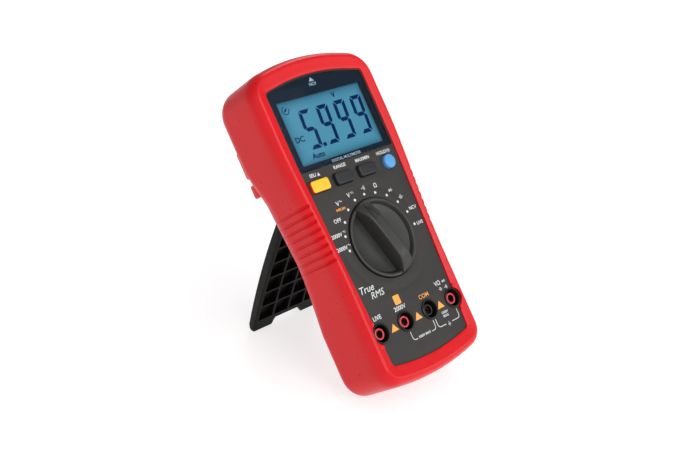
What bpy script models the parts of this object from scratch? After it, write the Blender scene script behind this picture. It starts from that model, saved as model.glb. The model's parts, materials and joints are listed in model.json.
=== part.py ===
"""Handheld digital multimeter leaning back on its open tilt stand.

The meter is modelled in its own frame: X across, Y up the case, Z out of the front panel, with the
origin on the panel face at the rotary selector's axis. Lengths are in millimetres until a mesh is made.
An empty leans that frame back and sets it on the ground, so the world is in metres with +Z up.
"""
import math

import bmesh
import bpy
from mathutils import Matrix, Vector

MM = 0.001
GAP = 0.3                      # clearance between neighbouring pieces
SAME_POINT = 0.001             # outline points nearer than this are one

# Attitude on the bench
LEAN = math.radians(34.96)     # from vertical, with the stand open

# Case outline, right half from bottom to top: (x, y, corner radius)
CASE_CORNERS = [(0, -80.1, 160), (39.4, -73.1, 12), (39.4, -9, 300), (44.0, 56, 300),
                (44.0, 102.2, 16), (0, 111.4, 125)]
PANEL_CORNERS = [(0, -69.5, 138), (30.1, -63.7, 2), (33.2, 0, 300), (35.35, 54, 200),
                 (35.3, 92.5, 4), (0, 100.0, 125)]
CORNER_STEPS = [4, 5, 1, 2, 5, 4]
SIDE_STEPS = [1, 5, 5, 3, 1]

# Case heights
RIM_TOP = 1.6
LIP_BOTTOM = -1.3
RIM_ROUND = (4.6, 8.2)         # half axes of the rounded shoulder, across and down
REAR_Z = -36.8
WALL = 2.5
REAR_ROUNDING = [(-80, 9.0), (-70, 8.0), (-60, 6.5), (-35, 6.5), (-18, 10.5), (4, 15.0),
                 (40, 15.0), (60, 8.0), (110, 8.0)]
PARTING_ANGLE = math.radians(45)

# Front panel and what comes through it
PANEL_FLANGE_TOP = -1.6
PANEL_BOTTOM = -3.0
FLANGE = 2.0
KNOB_RADIUS = 22.3
KNOB_HOLE = 22.8
KNOB_ANGLE = math.radians(18)  # the pointer stands at the direct-volts position
# Grip bar from its middle outwards: (share of the knob's radius, height, half width on top)
GRIP_SECTIONS = [(0, 6.6, 3.4), (0.36, 6.5, 3.4), (0.56, 6.3, 3.6), (0.68, 5.6, 3.8),
                 (0.78, 4.6, 4.1), (0.93, 2.6, 4.8), (1, 1.35, 5.2)]
GRIP_FOOT, GRIP_ROOT = 5.4, -2.5
DETENT_COUNT = 20              # one scallop for each 18 degrees
LENS_CORNERS = [(0, 46.3, 60), (34.1, 46.4, 1.2), (34.1, 91.9, 3.4), (0, 98.6, 125)]
WINDOW = (30.5, 49.8, 86.0)    # half width, bottom, top
KEY_Y = 37.5
KEY_X = {"select": -26.5, "range": -9.0, "maxmin": 8.5}
KEY_SIZE = (12.5, 6.5)
HOLD_X = 26.0
HOLD_RADIUS = 4.0
KEY_TOP = 2.2
JACK_Y = -45.8
JACK_X = {"live": -28.5, "high_voltage": -9.5, "common": 9.5, "volt_ohm": 28.5}
JACK_WELL = 4.7
JACK_BOSS = 5.6
JACK_BORE = 2.0
GROOVES_Y = [29.4 - 4.41 * i for i in range(8)]
GROOVE_DEPTH = 0.55

# Circuit board and display stack
BOARD_TOP, BOARD_BOTTOM = -10.2, -11.8
FRAME_BOX = (34.6, 44.4, 90.0)
GLASS_BOX = (32.5, 46.8, 88.0)

# Rear case, battery bay and stand
RECESS = (26.7, -63.0, 41.0)   # half width, bottom, top
RECESS_FLOOR = -30.9
FLOOR_THICKNESS = 2.0
HINGE_Y, HINGE_Z = 36.5, -34.0
BAY = (22.2, -36.0, 14.0)      # half width, bottom, top
BAY_CEILING = -18.3
BAY_WALL = 1.6
CELL_RADIUS, CELL_LENGTH, CELL_PITCH = 5.25, 43.5, 10.8
CELL_Z = -24.0
CASE_SCREWS = [(27.0, 95.5), (-27.0, 95.5), (31.0, -66.0), (-31.0, -66.0)]
SCREW_BOSS = 3.0
SCREW_TIP = -24.0
GUSSET_HALF = 0.9
COVER_SCREW_Y = -42.5
STAND_HALF_WIDTH = 26.0
STAND_LENGTH = 97.4
STAND_FOOT_FLAT = 2.0

COLOURS = {
    "red": ((0.60, 0.022, 0.028), 0.42, 0.0),
    "panel": ((0.068, 0.066, 0.062), 0.5, 0.0),
    "dark": ((0.02, 0.02, 0.02), 0.5, 0.0),
    "lens": ((0.02, 0.03, 0.045), 0.08, 0.0),
    "lcd": ((0.09, 0.35, 0.49), 0.25, 0.0),
    "white": ((0.75, 0.76, 0.78), 0.4, 0.0),
    "yellow": ((0.95, 0.6, 0.06), 0.4, 0.0),
    "blue": ((0.11, 0.38, 0.75), 0.4, 0.0),
    "board": ((0.02, 0.16, 0.06), 0.45, 0.0),
    "brass": ((0.75, 0.55, 0.22), 0.3, 1.0),
    "steel": ((0.55, 0.56, 0.58), 0.3, 1.0),
    "cell": ((0.05, 0.12, 0.25), 0.35, 0.3),
    "component": ((0.6, 0.38, 0.1), 0.5, 0.0),
}


def clear_scene():
    for item in list(bpy.data.objects):
        bpy.data.objects.remove(item, do_unlink=True)


def new_collection(name):
    group = bpy.data.collections.new(name)
    bpy.context.scene.collection.children.link(group)
    return group


def material(name):
    found = bpy.data.materials.get(name)
    if found:
        return found
    colour, roughness, metallic = COLOURS[name]
    made = bpy.data.materials.new(name)
    made.use_nodes = True
    shader = made.node_tree.nodes["Principled BSDF"]
    shader.inputs["Base Color"].default_value = (*colour, 1.0)
    shader.inputs["Roughness"].default_value = roughness
    shader.inputs["Metallic"].default_value = metallic
    return made


clear_scene()
PARTS = new_collection("digital_multimeter")
CUTTERS = new_collection("cutters")


def empty(name, parent=None, place=(0, 0, 0), turn=(0, 0, 0)):
    frame = bpy.data.objects.new(name, None)
    frame.location = Vector(place) * MM
    frame.rotation_euler = turn
    frame.parent = parent
    PARTS.objects.link(frame)
    return frame


METER = empty("meter_frame", turn=(math.pi / 2 - LEAN, 0, 0))


def add(name, mesh, colour, parent=None):
    """A visible piece, in its parent's frame."""
    piece = bpy.data.objects.new(name, mesh)
    mesh.materials.clear()
    mesh.materials.append(material(colour))
    piece.parent = parent or METER
    PARTS.objects.link(piece)
    mesh.shade_smooth()
    mesh.set_sharp_from_angle(angle=math.radians(35))
    return piece


def helper(name, mesh, parent=None):
    """A hidden body used by a Boolean."""
    body = bpy.data.objects.new(name, mesh)
    body.parent = parent or METER
    body.display_type = "WIRE"
    body.hide_render = True
    CUTTERS.objects.link(body)
    return body


def combine(piece, operation, mesh):
    """Cuts (DIFFERENCE) or joins (UNION) mesh, given in the piece's own frame."""
    body = helper(piece.name + "_" + operation.lower() + str(len(piece.modifiers)), mesh, piece.parent)
    step = piece.modifiers.new(operation.lower(), "BOOLEAN")
    step.operation = operation
    step.object = body
    step.solver = "EXACT"
    return piece


def rounded_outline(corners, corner_steps, side_steps):
    """Closed mirror-symmetric outline: the right half from bottom to top, then back down the left."""
    count = len(corners)
    spots = [Vector((x, y)) for x, y, _ in corners]
    before = [Vector((-spots[1].x, spots[1].y))] + spots[:-1]
    after = spots[1:] + [Vector((-spots[-2].x, spots[-2].y))]
    arcs = []
    for i in range(count):
        a, b = (before[i] - spots[i]).normalized(), (after[i] - spots[i]).normalized()
        half = math.acos(max(-1.0, min(1.0, a.dot(b)))) / 2
        radius = corners[i][2]
        centre = spots[i] + (a + b).normalized() * (radius / math.sin(half))
        start = spots[i] + a * (radius / math.tan(half)) - centre
        sweep = math.pi - 2 * half
        if a.x * b.y - a.y * b.x > 0:
            sweep = -sweep
        steps = corner_steps[i]
        arcs.append([centre + Matrix.Rotation(sweep * k / steps, 2) @ start for k in range(steps + 1)])
    arcs[0] = arcs[0][len(arcs[0]) // 2:]
    arcs[-1] = arcs[-1][:len(arcs[-1]) // 2 + 1]
    half_line = []
    for i, arc in enumerate(arcs):
        half_line += arc
        if i < count - 1:
            here, there = arc[-1], arcs[i + 1][0]
            half_line += [here.lerp(there, k / side_steps[i]) for k in range(1, side_steps[i])]
    half_line = without_repeats(half_line)
    return half_line + [Vector((-p.x, p.y)) for p in reversed(half_line[1:-1])]


def without_repeats(points):
    kept = points[:1]
    for point in points[1:]:
        if (point - kept[-1]).length > SAME_POINT:
            kept.append(point)
    return kept


def rectangle(half_width, low, high, radius=0.0, steps=3):
    """Closed outline of a rectangle centred on x = 0, with round corners if radius is given."""
    if not radius:
        return [Vector(p) for p in ((-half_width, low), (half_width, low),
                                    (half_width, high), (-half_width, high))]
    points = []
    for quadrant, (x, y) in enumerate(((half_width - radius, high - radius),
                                       (-half_width + radius, high - radius),
                                       (-half_width + radius, low + radius),
                                       (half_width - radius, low + radius))):
        for k in range(steps + 1):
            angle = (quadrant + k / steps) * math.pi / 2
            points.append(Vector((x + radius * math.cos(angle), y + radius * math.sin(angle))))
    return points


def shifted(outline, x, y=0.0):
    return [Vector((p.x + x, p.y + y)) for p in outline]


def normals_of(outline):
    count = len(outline)
    result = []
    for i in range(count):
        along = (outline[(i + 1) % count] - outline[i - 1]).normalized()
        result.append(Vector((along.y, -along.x)))
    return result


def grown(outline, distance):
    return [p + n * distance for p, n in zip(outline, normals_of(outline))]


def mesh_of(curve_data):
    """Welded mesh of a curve object's evaluated shape."""
    scratch = bpy.data.objects.new("scratch", curve_data)
    bpy.context.scene.collection.objects.link(scratch)
    bpy.context.view_layer.update()
    graph = bpy.context.evaluated_depsgraph_get()
    mesh = bpy.data.meshes.new_from_object(scratch.evaluated_get(graph))
    bpy.data.objects.remove(scratch, do_unlink=True)
    work = bmesh.new()
    work.from_mesh(mesh)
    bmesh.ops.remove_doubles(work, verts=work.verts, dist=0.002 * MM)
    bmesh.ops.recalc_face_normals(work, faces=work.faces)
    work.to_mesh(mesh)
    work.free()
    return mesh


def plate(outlines, low, high):
    """Flat plate between two heights. Outlines after the first are its holes."""
    data = bpy.data.curves.new("outline", "CURVE")
    data.dimensions = "2D"
    data.fill_mode = "BOTH"
    data.extrude = (high - low) / 2 * MM
    for outline in outlines:
        spline = data.splines.new("POLY")
        spline.points.add(len(outline) - 1)
        for point, corner in zip(spline.points, outline):
            point.co = (corner.x * MM, corner.y * MM, 0, 1)
        spline.use_cyclic_u = True
    mesh = mesh_of(data)
    mesh.transform(Matrix.Translation((0, 0, (low + high) / 2 * MM)))
    return mesh


def wire(points, radius, resolution=1):
    """Round wire with filled ends along the points."""
    data = bpy.data.curves.new("wire", "CURVE")
    data.dimensions = "3D"
    data.bevel_depth = radius * MM
    data.bevel_resolution = resolution
    data.use_fill_caps = True
    spline = data.splines.new("POLY")
    spline.points.add(len(points) - 1)
    for point, place in zip(spline.points, points):
        point.co = (*(Vector(place) * MM), 1)
    return mesh_of(data)


def from_bmesh(work):
    mesh = bpy.data.meshes.new("piece")
    work.to_mesh(mesh)
    work.free()
    return mesh


def cylinders(spots, segments=24):
    """One mesh of upright cylinders or cones: (x, y, low, high, radius) or with a top radius added."""
    work = bmesh.new()
    for x, y, low, high, radius, *top in spots:
        place = Matrix.Translation(Vector((x, y, (low + high) / 2)) * MM)
        bmesh.ops.create_cone(work, cap_ends=True, segments=segments, radius1=radius * MM,
                              radius2=(top[0] if top else radius) * MM, depth=(high - low) * MM,
                              matrix=place)
    return from_bmesh(work)


def boxes(spots):
    """One mesh of blocks, each given by its lowest and highest corner."""
    work = bmesh.new()
    for low, high in spots:
        low, high = Vector(low), Vector(high)
        size = (high - low) * MM
        place = Matrix.Translation((low + high) / 2 * MM) @ Matrix.Diagonal((*size, 1.0))
        bmesh.ops.create_cube(work, size=1.0, matrix=place)
    return from_bmesh(work)


def turned(profile, segments):
    """Closed turned solid about Z from (radius, height) points, run from the top axis to the bottom."""
    data = bpy.data.meshes.new("profile")
    points = [(r * MM, 0, z * MM) for r, z in profile]
    data.from_pydata(points, [(i, i + 1) for i in range(len(points) - 1)], [])
    scratch = bpy.data.objects.new("scratch", data)
    bpy.context.scene.collection.objects.link(scratch)
    screw = scratch.modifiers.new("screw", "SCREW")
    screw.steps = screw.render_steps = segments
    screw.use_merge_vertices = True
    screw.merge_threshold = 0.00001
    bpy.context.view_layer.update()
    graph = bpy.context.evaluated_depsgraph_get()
    mesh = bpy.data.meshes.new_from_object(scratch.evaluated_get(graph))
    bpy.data.objects.remove(scratch, do_unlink=True)
    return mesh


def loft(rings, closed=False):
    """Skin through unlike rings of equal count; the last ring meets the first, or both ends are capped."""
    work = bmesh.new()
    rows = [[work.verts.new(Vector(p) * MM) for p in ring] for ring in rings]
    count = len(rows[0])
    pairs = list(zip(rows, rows[1:])) + ([(rows[-1], rows[0])] if closed else [])
    for lower, upper in pairs:
        for i in range(count):
            j = (i + 1) % count
            work.faces.new((lower[i], lower[j], upper[j], upper[i]))
    if not closed:
        work.faces.new(list(reversed(rows[0])))
        work.faces.new(rows[-1])
    bmesh.ops.recalc_face_normals(work, faces=work.faces)
    return from_bmesh(work)


def rear_radius(y):
    for (y0, r0), (y1, r1) in zip(REAR_ROUNDING, REAR_ROUNDING[1:]):
        if y <= y1:
            return r0 + (r1 - r0) * max(0.0, (y - y0) / (y1 - y0))
    return REAR_ROUNDING[-1][1]


CASE = rounded_outline(CASE_CORNERS, CORNER_STEPS, SIDE_STEPS)
CASE_NORMALS = normals_of(CASE)
PANEL = rounded_outline(PANEL_CORNERS, CORNER_STEPS, SIDE_STEPS)


def level(outline, z):
    return [(p.x, p.y, z) for p in outline]


def rear_ring(angle, thickness=0.0):
    """Ring on the rounded rear edge: angle 0 is the side, a right angle the flat back."""
    ring = []
    for p, n in zip(CASE, CASE_NORMALS):
        radius = rear_radius(p.y)
        place = p - n * (radius - (radius - thickness) * math.cos(angle))
        ring.append((place.x, place.y, REAR_Z + radius - (radius - thickness) * math.sin(angle)))
    return ring


def shoulder_ring(angle):
    """Ring on the rounded shoulder: angle 0 is the rim's face, a right angle the side."""
    across, down = RIM_ROUND
    return level(grown(CASE, -across * (1 - math.sin(angle))), RIM_TOP - down * (1 - math.cos(angle)))


def front_case():
    quarter = math.pi / 2
    rings = [level(PANEL, LIP_BOTTOM), level(PANEL, RIM_TOP - 0.5), level(grown(PANEL, 0.5), RIM_TOP)]
    rings += [shoulder_ring(quarter * k / 4) for k in range(5)]
    rings += [rear_ring(PARTING_ANGLE * k / 2) for k in range(3)]
    rings += [rear_ring(PARTING_ANGLE, WALL), rear_ring(0, WALL)]
    rings += [level(grown(CASE, -WALL), -7.0), level(grown(CASE, -4.6), LIP_BOTTOM)]
    case = add("front_case", loft(rings, closed=True), "red")
    combine(case, "UNION", boxes([gusset(x, y) for x, y in CASE_SCREWS]))
    combine(case, "UNION", cylinders([(x, y, -31.8, -3.6, SCREW_BOSS) for x, y in CASE_SCREWS], 12))
    combine(case, "DIFFERENCE", cylinders([(x, y, -34.0, SCREW_TIP + 2, 1.4) for x, y in CASE_SCREWS], 12))
    outer_jacks = (JACK_X["live"], JACK_X["volt_ohm"])
    combine(case, "DIFFERENCE", cylinders([(x, JACK_Y, -2.2, 3.0, JACK_BOSS + GAP)
                                           for x in outer_jacks], 24))
    combine(case, "DIFFERENCE", grip_grooves())


def gusset(x, y):
    """Rib from a screw boss to the end wall at the top, or to the side wall at the bottom."""
    if y > 0:
        return (x - GUSSET_HALF, y, -30.0), (x + GUSSET_HALF, y + 8.6, -8.0)
    outer = x + math.copysign(6.4, x)
    return (min(x, outer), y - GUSSET_HALF, -30.0), (max(x, outer), y + GUSSET_HALF, -8.0)


def grip_grooves():
    """Cutters for the grooves that cross each side from the rim to the rear edge."""
    (low_x, low_y), (high_x, high_y) = CASE_CORNERS[2][:2], CASE_CORNERS[3][:2]
    blocks = []
    for y in GROOVES_Y:
        floor = low_x + (high_x - low_x) * (y - low_y) / (high_y - low_y) - GROOVE_DEPTH
        for side in (-1, 1):
            near, far = sorted((side * floor, side * (floor + 4)))
            blocks.append(((near, y - 0.45, -23.0), (far, y + 0.45, -4.0)))
    return boxes(blocks)


def circle(x, y, radius, segments=32):
    turn = 2 * math.pi / segments
    return [Vector((x + radius * math.cos(i * turn), y + radius * math.sin(i * turn)))
            for i in range(segments)]


def front_panel():
    """Plate under the rim's lip, with its openings, socket rings and the scalloped indexing ring."""
    panel = add("front_panel", plate([grown(PANEL, -GAP)], PANEL_FLANGE_TOP - 0.2, 0), "panel")
    flange = plate([grown(PANEL, FLANGE)], PANEL_BOTTOM, PANEL_FLANGE_TOP)
    combine(panel, "UNION", flange)
    wells = [(x, JACK_Y, -2.0, 0.9, JACK_BOSS) for x in JACK_X.values()]
    combine(panel, "UNION", cylinders(wells, 24))
    scallops = []
    for i in range(2 * DETENT_COUNT):
        angle = i * math.pi / DETENT_COUNT
        radius = 25.1 if i % 2 else 25.6
        scallops.append(Vector((radius * math.sin(angle), radius * math.cos(angle))))
    combine(panel, "UNION", plate([circle(0, 0, 27.6, 40), scallops], -8.6, PANEL_BOTTOM + 0.2))
    half_width, low, high = WINDOW
    combine(panel, "DIFFERENCE", plate([rounded_outline(LENS_CORNERS, [2, 3, 4, 4], [1, 1, 1])], -1.45, 2))
    combine(panel, "DIFFERENCE", plate([rectangle(half_width, low, high)], -5, 1))
    combine(panel, "DIFFERENCE", cylinders([(0, 0, -5, 2, KNOB_HOLE)], 48))
    wide, tall = KEY_SIZE
    for name, x in KEY_X.items():
        hole = rectangle(wide / 2 + GAP, KEY_Y - tall / 2 - GAP, KEY_Y + tall / 2 + GAP, 1.5)
        combine(panel, "DIFFERENCE", plate([shifted(hole, x)], -5, 2))
    holes = [(x, JACK_Y, -5, 2, JACK_WELL) for x in JACK_X.values()]
    combine(panel, "DIFFERENCE", cylinders(holes, 24))
    combine(panel, "DIFFERENCE", cylinders([(HOLD_X, KEY_Y, -5, 2, HOLD_RADIUS + GAP)], 24))


def display_stack():
    lens = rounded_outline([(x - GAP * (x > 0), y + (GAP if y < 50 else -GAP), r)
                            for x, y, r in LENS_CORNERS], [2, 3, 4, 4], [1, 1, 1])
    add("display_lens", plate([lens], -1.1, 0.0), "lens")
    half_width, low, high = GLASS_BOX
    frame_half, frame_low, frame_high = FRAME_BOX
    frame = [rectangle(frame_half, frame_low, frame_high, 1.0),
             rectangle(half_width + GAP, low - GAP, high + GAP)]
    add("lcd_frame", plate(frame, -9.9, -3.3), "white")
    add("lcd_glass", boxes([((-half_width, low, -5.6), (half_width, high, -3.4))]), "lcd")
    add("backlight_panel", boxes([((-half_width, low + 4, -8.9), (half_width, high, -5.9))]), "white")
    add("zebra_strip", boxes([((-30, low + 0.3, -9.9), (30, low + 2.8, -5.9))]), "dark")


def circuit_board():
    outline = [(34.5, -56), (34.5, 0), (38.0, 40), (38.0, 90)]
    outline = [Vector(p) for p in outline] + [Vector((-x, y)) for x, y in reversed(outline)]
    holes = [circle(x, JACK_Y, 6.3, 20) for x in JACK_X.values()] + [circle(0, 0, 5.6, 24)]
    add("main_circuit_board", plate([outline] + holes, BOARD_BOTTOM, BOARD_TOP), "board")
    below = BOARD_BOTTOM - GAP
    add("measurement_chip", boxes([((-7, 55, below - 1.6), (7, 69, below))]), "dark")
    add("crystal", boxes([((12, 58, below - 3.5), (23, 62.5, below))]), "steel")
    add("buzzer", cylinders([(-22, 66, below - 5, below, 7)], 24), "dark")
    add("ptc_thermistor", cylinders([(-24, -30, below - 3.5, below, 4.5)], 20), "component")
    add("varistor", cylinders([(24, -29, below - 4.0, below, 6)], 20), "blue")
    resistor = cylinders([(0, 0, -11, 11, 2.0)], 12)
    resistor.transform(Matrix.Translation(Vector((0, -33.5, below - 2.1)) * MM)
                       @ Matrix.Rotation(math.pi / 2, 4, "Y"))
    add("high_voltage_resistor", resistor, "component")
    antenna = [Vector(p) for p in ((-14, 83), (14, 83), (10, 88), (-10, 88))]
    add("voltage_sensor_antenna", plate([antenna], below - 0.5, below), "brass")


def selector():
    """Dished knob with a grip bar, its rotor, wiping contacts and radial detents."""
    axis = empty("selector_axis", METER, (0, 0, 0), (0, 0, KNOB_ANGLE))
    profile = [(0, -1.2), (17.5, -1.2), (18.9, -0.7), (19.8, 0.8), (20.4, 1.2), (21.7, 1.2), (22.3, 0.7),
               (22.3, -3.3), (24.2, -3.3), (24.2, -4.3), (5.0, -4.3), (5.0, -8.3), (0, -8.3)]
    knob = add("selector_knob", turned(profile, 40), "panel", axis)
    combine(knob, "UNION", grip_bar())
    rotor = add("knob_rotor", plate([circle(0, 0, 21.5, 40), circle(0, 0, 5.3, 24)], -8.3, -4.6),
                "white", axis)
    combine(rotor, "DIFFERENCE", boxes([((14, -1.7, -8.1), (23, 1.7, -4.9)),
                                        ((-23, -1.7, -8.1), (-14, 1.7, -4.9))]))
    for number, side in enumerate((1, -1), 1):
        add(f"detent_ball_{number}", ball(side * 23.3, 0, -6.5, 1.4), "steel", axis)
        coil = [(side * (14.4 + 7.1 * k / 40), 0.9 * math.cos(k * math.pi / 4),
                 -6.5 + 0.9 * math.sin(k * math.pi / 4)) for k in range(41)]
        add(f"detent_spring_{number}", wire(coil, 0.22, 0), "steel", axis)
        strip = plate([shifted(rectangle(7.5, -1.5, 1.5, 0.8, 2), 0, side * 11)], -9.0, -8.6)
        contact = add(f"rotor_contact_{number}", strip, "brass", axis)
        combine(contact, "UNION", cylinders([(x, side * 11, -9.9, -8.8, 0.5, 0.9) for x in (-5, 5)], 12))


def grip_bar():
    """Crowned bar across the dish, its sides drafted and its ends following the knob's rim."""
    radius = KNOB_RADIUS - 0.1
    rings = []
    for share, height, half_width in [(-s, h, w) for s, h, w in reversed(GRIP_SECTIONS)] + GRIP_SECTIONS[1:]:
        foot = GRIP_FOOT + 0.5 * abs(share)
        ring = [(foot * k / 2, GRIP_ROOT) for k in range(-2, 3)]
        ring += [(half_width * k / 2, height) for k in range(2, -3, -1)]
        rings.append([(x, share * math.sqrt(radius ** 2 - x ** 2), z) for x, z in ring])
    return loft(rings)


def ball(x, y, z, radius):
    work = bmesh.new()
    place = Matrix.Translation(Vector((x, y, z)) * MM)
    bmesh.ops.create_uvsphere(work, u_segments=12, v_segments=8, radius=radius * MM, matrix=place)
    return from_bmesh(work)


def key(name, x, button_mesh, colour):
    """A key on its own sliding axis, with the plunger that it pushes and the switch below."""
    axis = empty(name + "_axis", METER, (x, KEY_Y, 0))
    button = add(name + "_button", button_mesh, colour, axis)
    add(name + "_plunger", cylinders([(0, 0, -8.2, -6.8, 1.6)], 12), "dark", axis)
    base = BOARD_TOP + GAP
    place = empty(name + "_switch_place", METER, (x, KEY_Y, 0))
    switch = add(name + "_switch", boxes([((-3, -3, base), (3, 3, -7.7))]), "steel", place)
    combine(switch, "DIFFERENCE", cylinders([(0, 0, base + 0.3, -7.0, 1.9)], 12))
    return button


def keys():
    wide, tall = KEY_SIZE
    cap = rectangle(wide / 2, -tall / 2, tall / 2, 1.4)
    flange = rectangle(wide / 2 + 1, -tall / 2 - 1, tall / 2 + 1)
    for name, x in KEY_X.items():
        button = key(name, x, plate([cap], -4.1, KEY_TOP), "yellow" if name == "select" else "dark")
        edge = button.modifiers.new("edge", "BEVEL")
        edge.width = 0.5 * MM
        edge.segments = 2
        edge.limit_method = "ANGLE"
        edge.angle_limit = math.radians(60)
        combine(button, "UNION", plate([flange], -4.3, -3.3))
        combine(button, "UNION", cylinders([(0, 0, -6.5, -4.1, 1.6)], 12))
    radius = HOLD_RADIUS
    profile = [(0, KEY_TOP), (radius - 0.8, KEY_TOP), (radius - 0.2, KEY_TOP - 0.3), (radius, KEY_TOP - 0.8),
               (radius, -3.3), (radius + 1, -3.3), (radius + 1, -4.3), (1.6, -4.3), (1.6, -6.5), (0, -6.5)]
    key("hold", HOLD_X, turned(profile, 24), "blue")


def sockets():
    """Shrouded insulators hanging behind the panel, each with a brass tube in its post."""
    cup = [(0, -21.0), (5.6, -21.0), (5.6, -3.3), (4.7, -3.3), (4.7, -19.6), (3.2, -19.6), (3.2, -1.0),
           (2.1, -1.0), (2.1, -3.0), (2.8, -3.0), (2.8, -19.2), (0, -19.2)]
    tube = [(0, -19.0), (2.5, -19.0), (2.5, -3.3), (JACK_BORE, -3.3), (JACK_BORE, -18.0), (0, -18.0)]
    for name, x in JACK_X.items():
        place = empty(name + "_jack_place", METER, (x, JACK_Y, 0))
        add(name + "_jack_insulator", turned(list(reversed(cup)), 18),
            "dark" if name == "common" else "red", place)
        add(name + "_socket", turned(list(reversed(tube)), 16), "brass", place)


def rear_case():
    start = PARTING_ANGLE + GAP / 8
    inner = PARTING_ANGLE + GAP / 6
    quarter = math.pi / 2
    rings = [rear_ring(quarter, WALL), rear_ring((inner + quarter) / 2, WALL), rear_ring(inner, WALL),
             rear_ring(start), rear_ring((start + quarter) / 2), rear_ring(quarter)]
    case = add("rear_case", loft(rings), "red")
    half, low, high = RECESS
    top = RECESS_FLOOR + FLOOR_THICKNESS
    combine(case, "UNION", boxes([((-half - 3.3, low - 2, -35.4), (half + 3.3, high + 2, top))]))
    bay_half, bay_low, bay_high = BAY
    roof = BAY_CEILING + 1.2
    side = BAY_WALL
    combine(case, "UNION", boxes([((-bay_half - side, bay_low - side, RECESS_FLOOR + 0.9),
                                   (bay_half + side, bay_high + side, roof))]))
    combine(case, "UNION", cylinders([(0, COVER_SCREW_Y, -30, -24, 3.2)], 20))
    combine(case, "UNION", lead_holder_fins())
    combine(case, "DIFFERENCE", boxes([((-half, low, -60), (half, high, RECESS_FLOOR))]))
    combine(case, "DIFFERENCE", boxes([((-bay_half, bay_low, -33), (bay_half, bay_high, BAY_CEILING))]))
    combine(case, "DIFFERENCE", boxes([((-4.3, -47.3, -33), (4.3, bay_low + 1, -29.2))]))
    combine(case, "DIFFERENCE", cylinders([(0, COVER_SCREW_Y, -33, -25, 1.1)], 12))
    clearances = [(x, y, -32.2, -20, SCREW_BOSS + 0.4) for x, y in CASE_SCREWS if y < 0]
    combine(case, "DIFFERENCE", cylinders(clearances, 16))
    screw_holes = [(x, y, -40, -30, 1.5) for x, y in CASE_SCREWS]
    combine(case, "DIFFERENCE", cylinders(screw_holes, 16))
    counterbores = [(x, y, -40, REAR_Z + 1.2, 2.8) for x, y in CASE_SCREWS]
    combine(case, "DIFFERENCE", cylinders(counterbores, 20))
    combine(case, "DIFFERENCE", hinge_bores())


def hinge_bores():
    """Two blind bores in the recess walls for the stand's pivot pins."""
    bores = cylinders([(0, 0, -29.1, 29.1, 2.3)], 24)
    bores.transform(Matrix.Translation(Vector((0, HINGE_Y, HINGE_Z)) * MM)
                    @ Matrix.Rotation(math.pi / 2, 4, "Y"))
    return bores


def lead_holder_fins():
    """Fins behind each shoulder that grip a parked test probe."""
    spots = []
    for low, high in ((46.6, 54.4), (58.0, 74.0)):
        for side in (-1, 1):
            near, far = sorted((side * 36.2, side * 39.4))
            spots.append(((near, low, -38.9), (far, high, -34.3)))
    return boxes(spots)


def batteries():
    half, low, high = BAY
    bottom = low + 3.2
    for number in range(4):
        x = (number - 1.5) * CELL_PITCH
        flip = 1 if number % 2 == 0 else -1
        cell = turned([(0, 22.25), (2.7, 22.25), (2.7, 21.25), (4.9, 21.25), (CELL_RADIUS, 20.9),
                       (CELL_RADIUS, -20.9), (4.9, -21.25), (0, -21.25)], 24)
        cell.transform(Matrix.Translation(Vector((x, bottom + CELL_LENGTH / 2 + 0.3, CELL_Z)) * MM)
                       @ Matrix.Rotation(-flip * math.pi / 2, 4, "X"))
        add(f"battery_cell_{number + 1}", cell, "cell")
    low_y, high_y = (low + GAP, low + 0.9), (high - 0.9, high - GAP)
    contact_strip("battery_terminal_positive", (-20.6, -11.8), low_y, 1)
    contact_strip("battery_bridge_1", (-9.8, 9.8), low_y, 1)
    contact_strip("battery_terminal_negative", (11.8, 20.6), low_y, 1)
    contact_strip("battery_bridge_2", (-20.6, -1.0), high_y, -1)
    contact_strip("battery_bridge_3", (1.0, 20.6), high_y, -1)


def contact_strip(name, across, along, facing):
    """Pressed contact plate with a raised dimple towards each cell that it touches."""
    strip = boxes([((across[0], along[0], -28.4), (across[1], along[1], -19.6))])
    piece = add(name, strip, "steel")
    width = across[1] - across[0]
    centres = [(across[0] + across[1]) / 2] if width < 12 else [across[0] + 4.4, across[1] - 4.4]
    height = 1.2
    for x in centres:
        dimple = cylinders([(0, 0, -0.3, height, 2.6, 1.6)], 16)
        start = along[1] if facing > 0 else along[0]
        dimple.transform(Matrix.Translation(Vector((x, start, CELL_Z)) * MM)
                         @ Matrix.Rotation(-facing * math.pi / 2, 4, "X"))
        combine(piece, "UNION", dimple)


def battery_cover():
    half, low, high = BAY
    base = RECESS_FLOOR
    cover = add("battery_cover", boxes([((-half + GAP, low + GAP, base), (half - GAP, high - GAP, -29.6))]),
                "red")
    combine(cover, "UNION", boxes([((-4, -47, base), (4, low + 1.0, -29.5))]))
    combine(cover, "DIFFERENCE", cylinders([(0, COVER_SCREW_Y, base - 1, -28, 1.4)], 16))
    combine(cover, "DIFFERENCE", cylinders([(0, COVER_SCREW_Y, base - 1, base + 0.95, 2.6)], 20))
    screw("battery_cover_screw", 0, COVER_SCREW_Y, base + 0.65, -25.6, 2.3, 0.85, 0.6)


def screw(name, x, y, head_top, tip, head_radius, shank_radius, head_height):
    """Pan-head screw pointing into the case, head towards the back."""
    piece = add(name, cylinders([(x, y, head_top - head_height, head_top, head_radius)], 20), "steel")
    combine(piece, "UNION", cylinders([(x, y, head_top - 0.2, tip, shank_radius)], 12))
    slot = [((x - 1.4, y - 0.3, head_top - 2), (x + 1.4, y + 0.3, head_top - head_height + 0.4))]
    combine(piece, "DIFFERENCE", boxes(slot))


def case_screws():
    for number, (x, y) in enumerate(CASE_SCREWS, 1):
        screw(f"case_screw_{number}", x, y, REAR_Z + 0.9, SCREW_TIP, 2.4, 1.1, 0.9)


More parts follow.
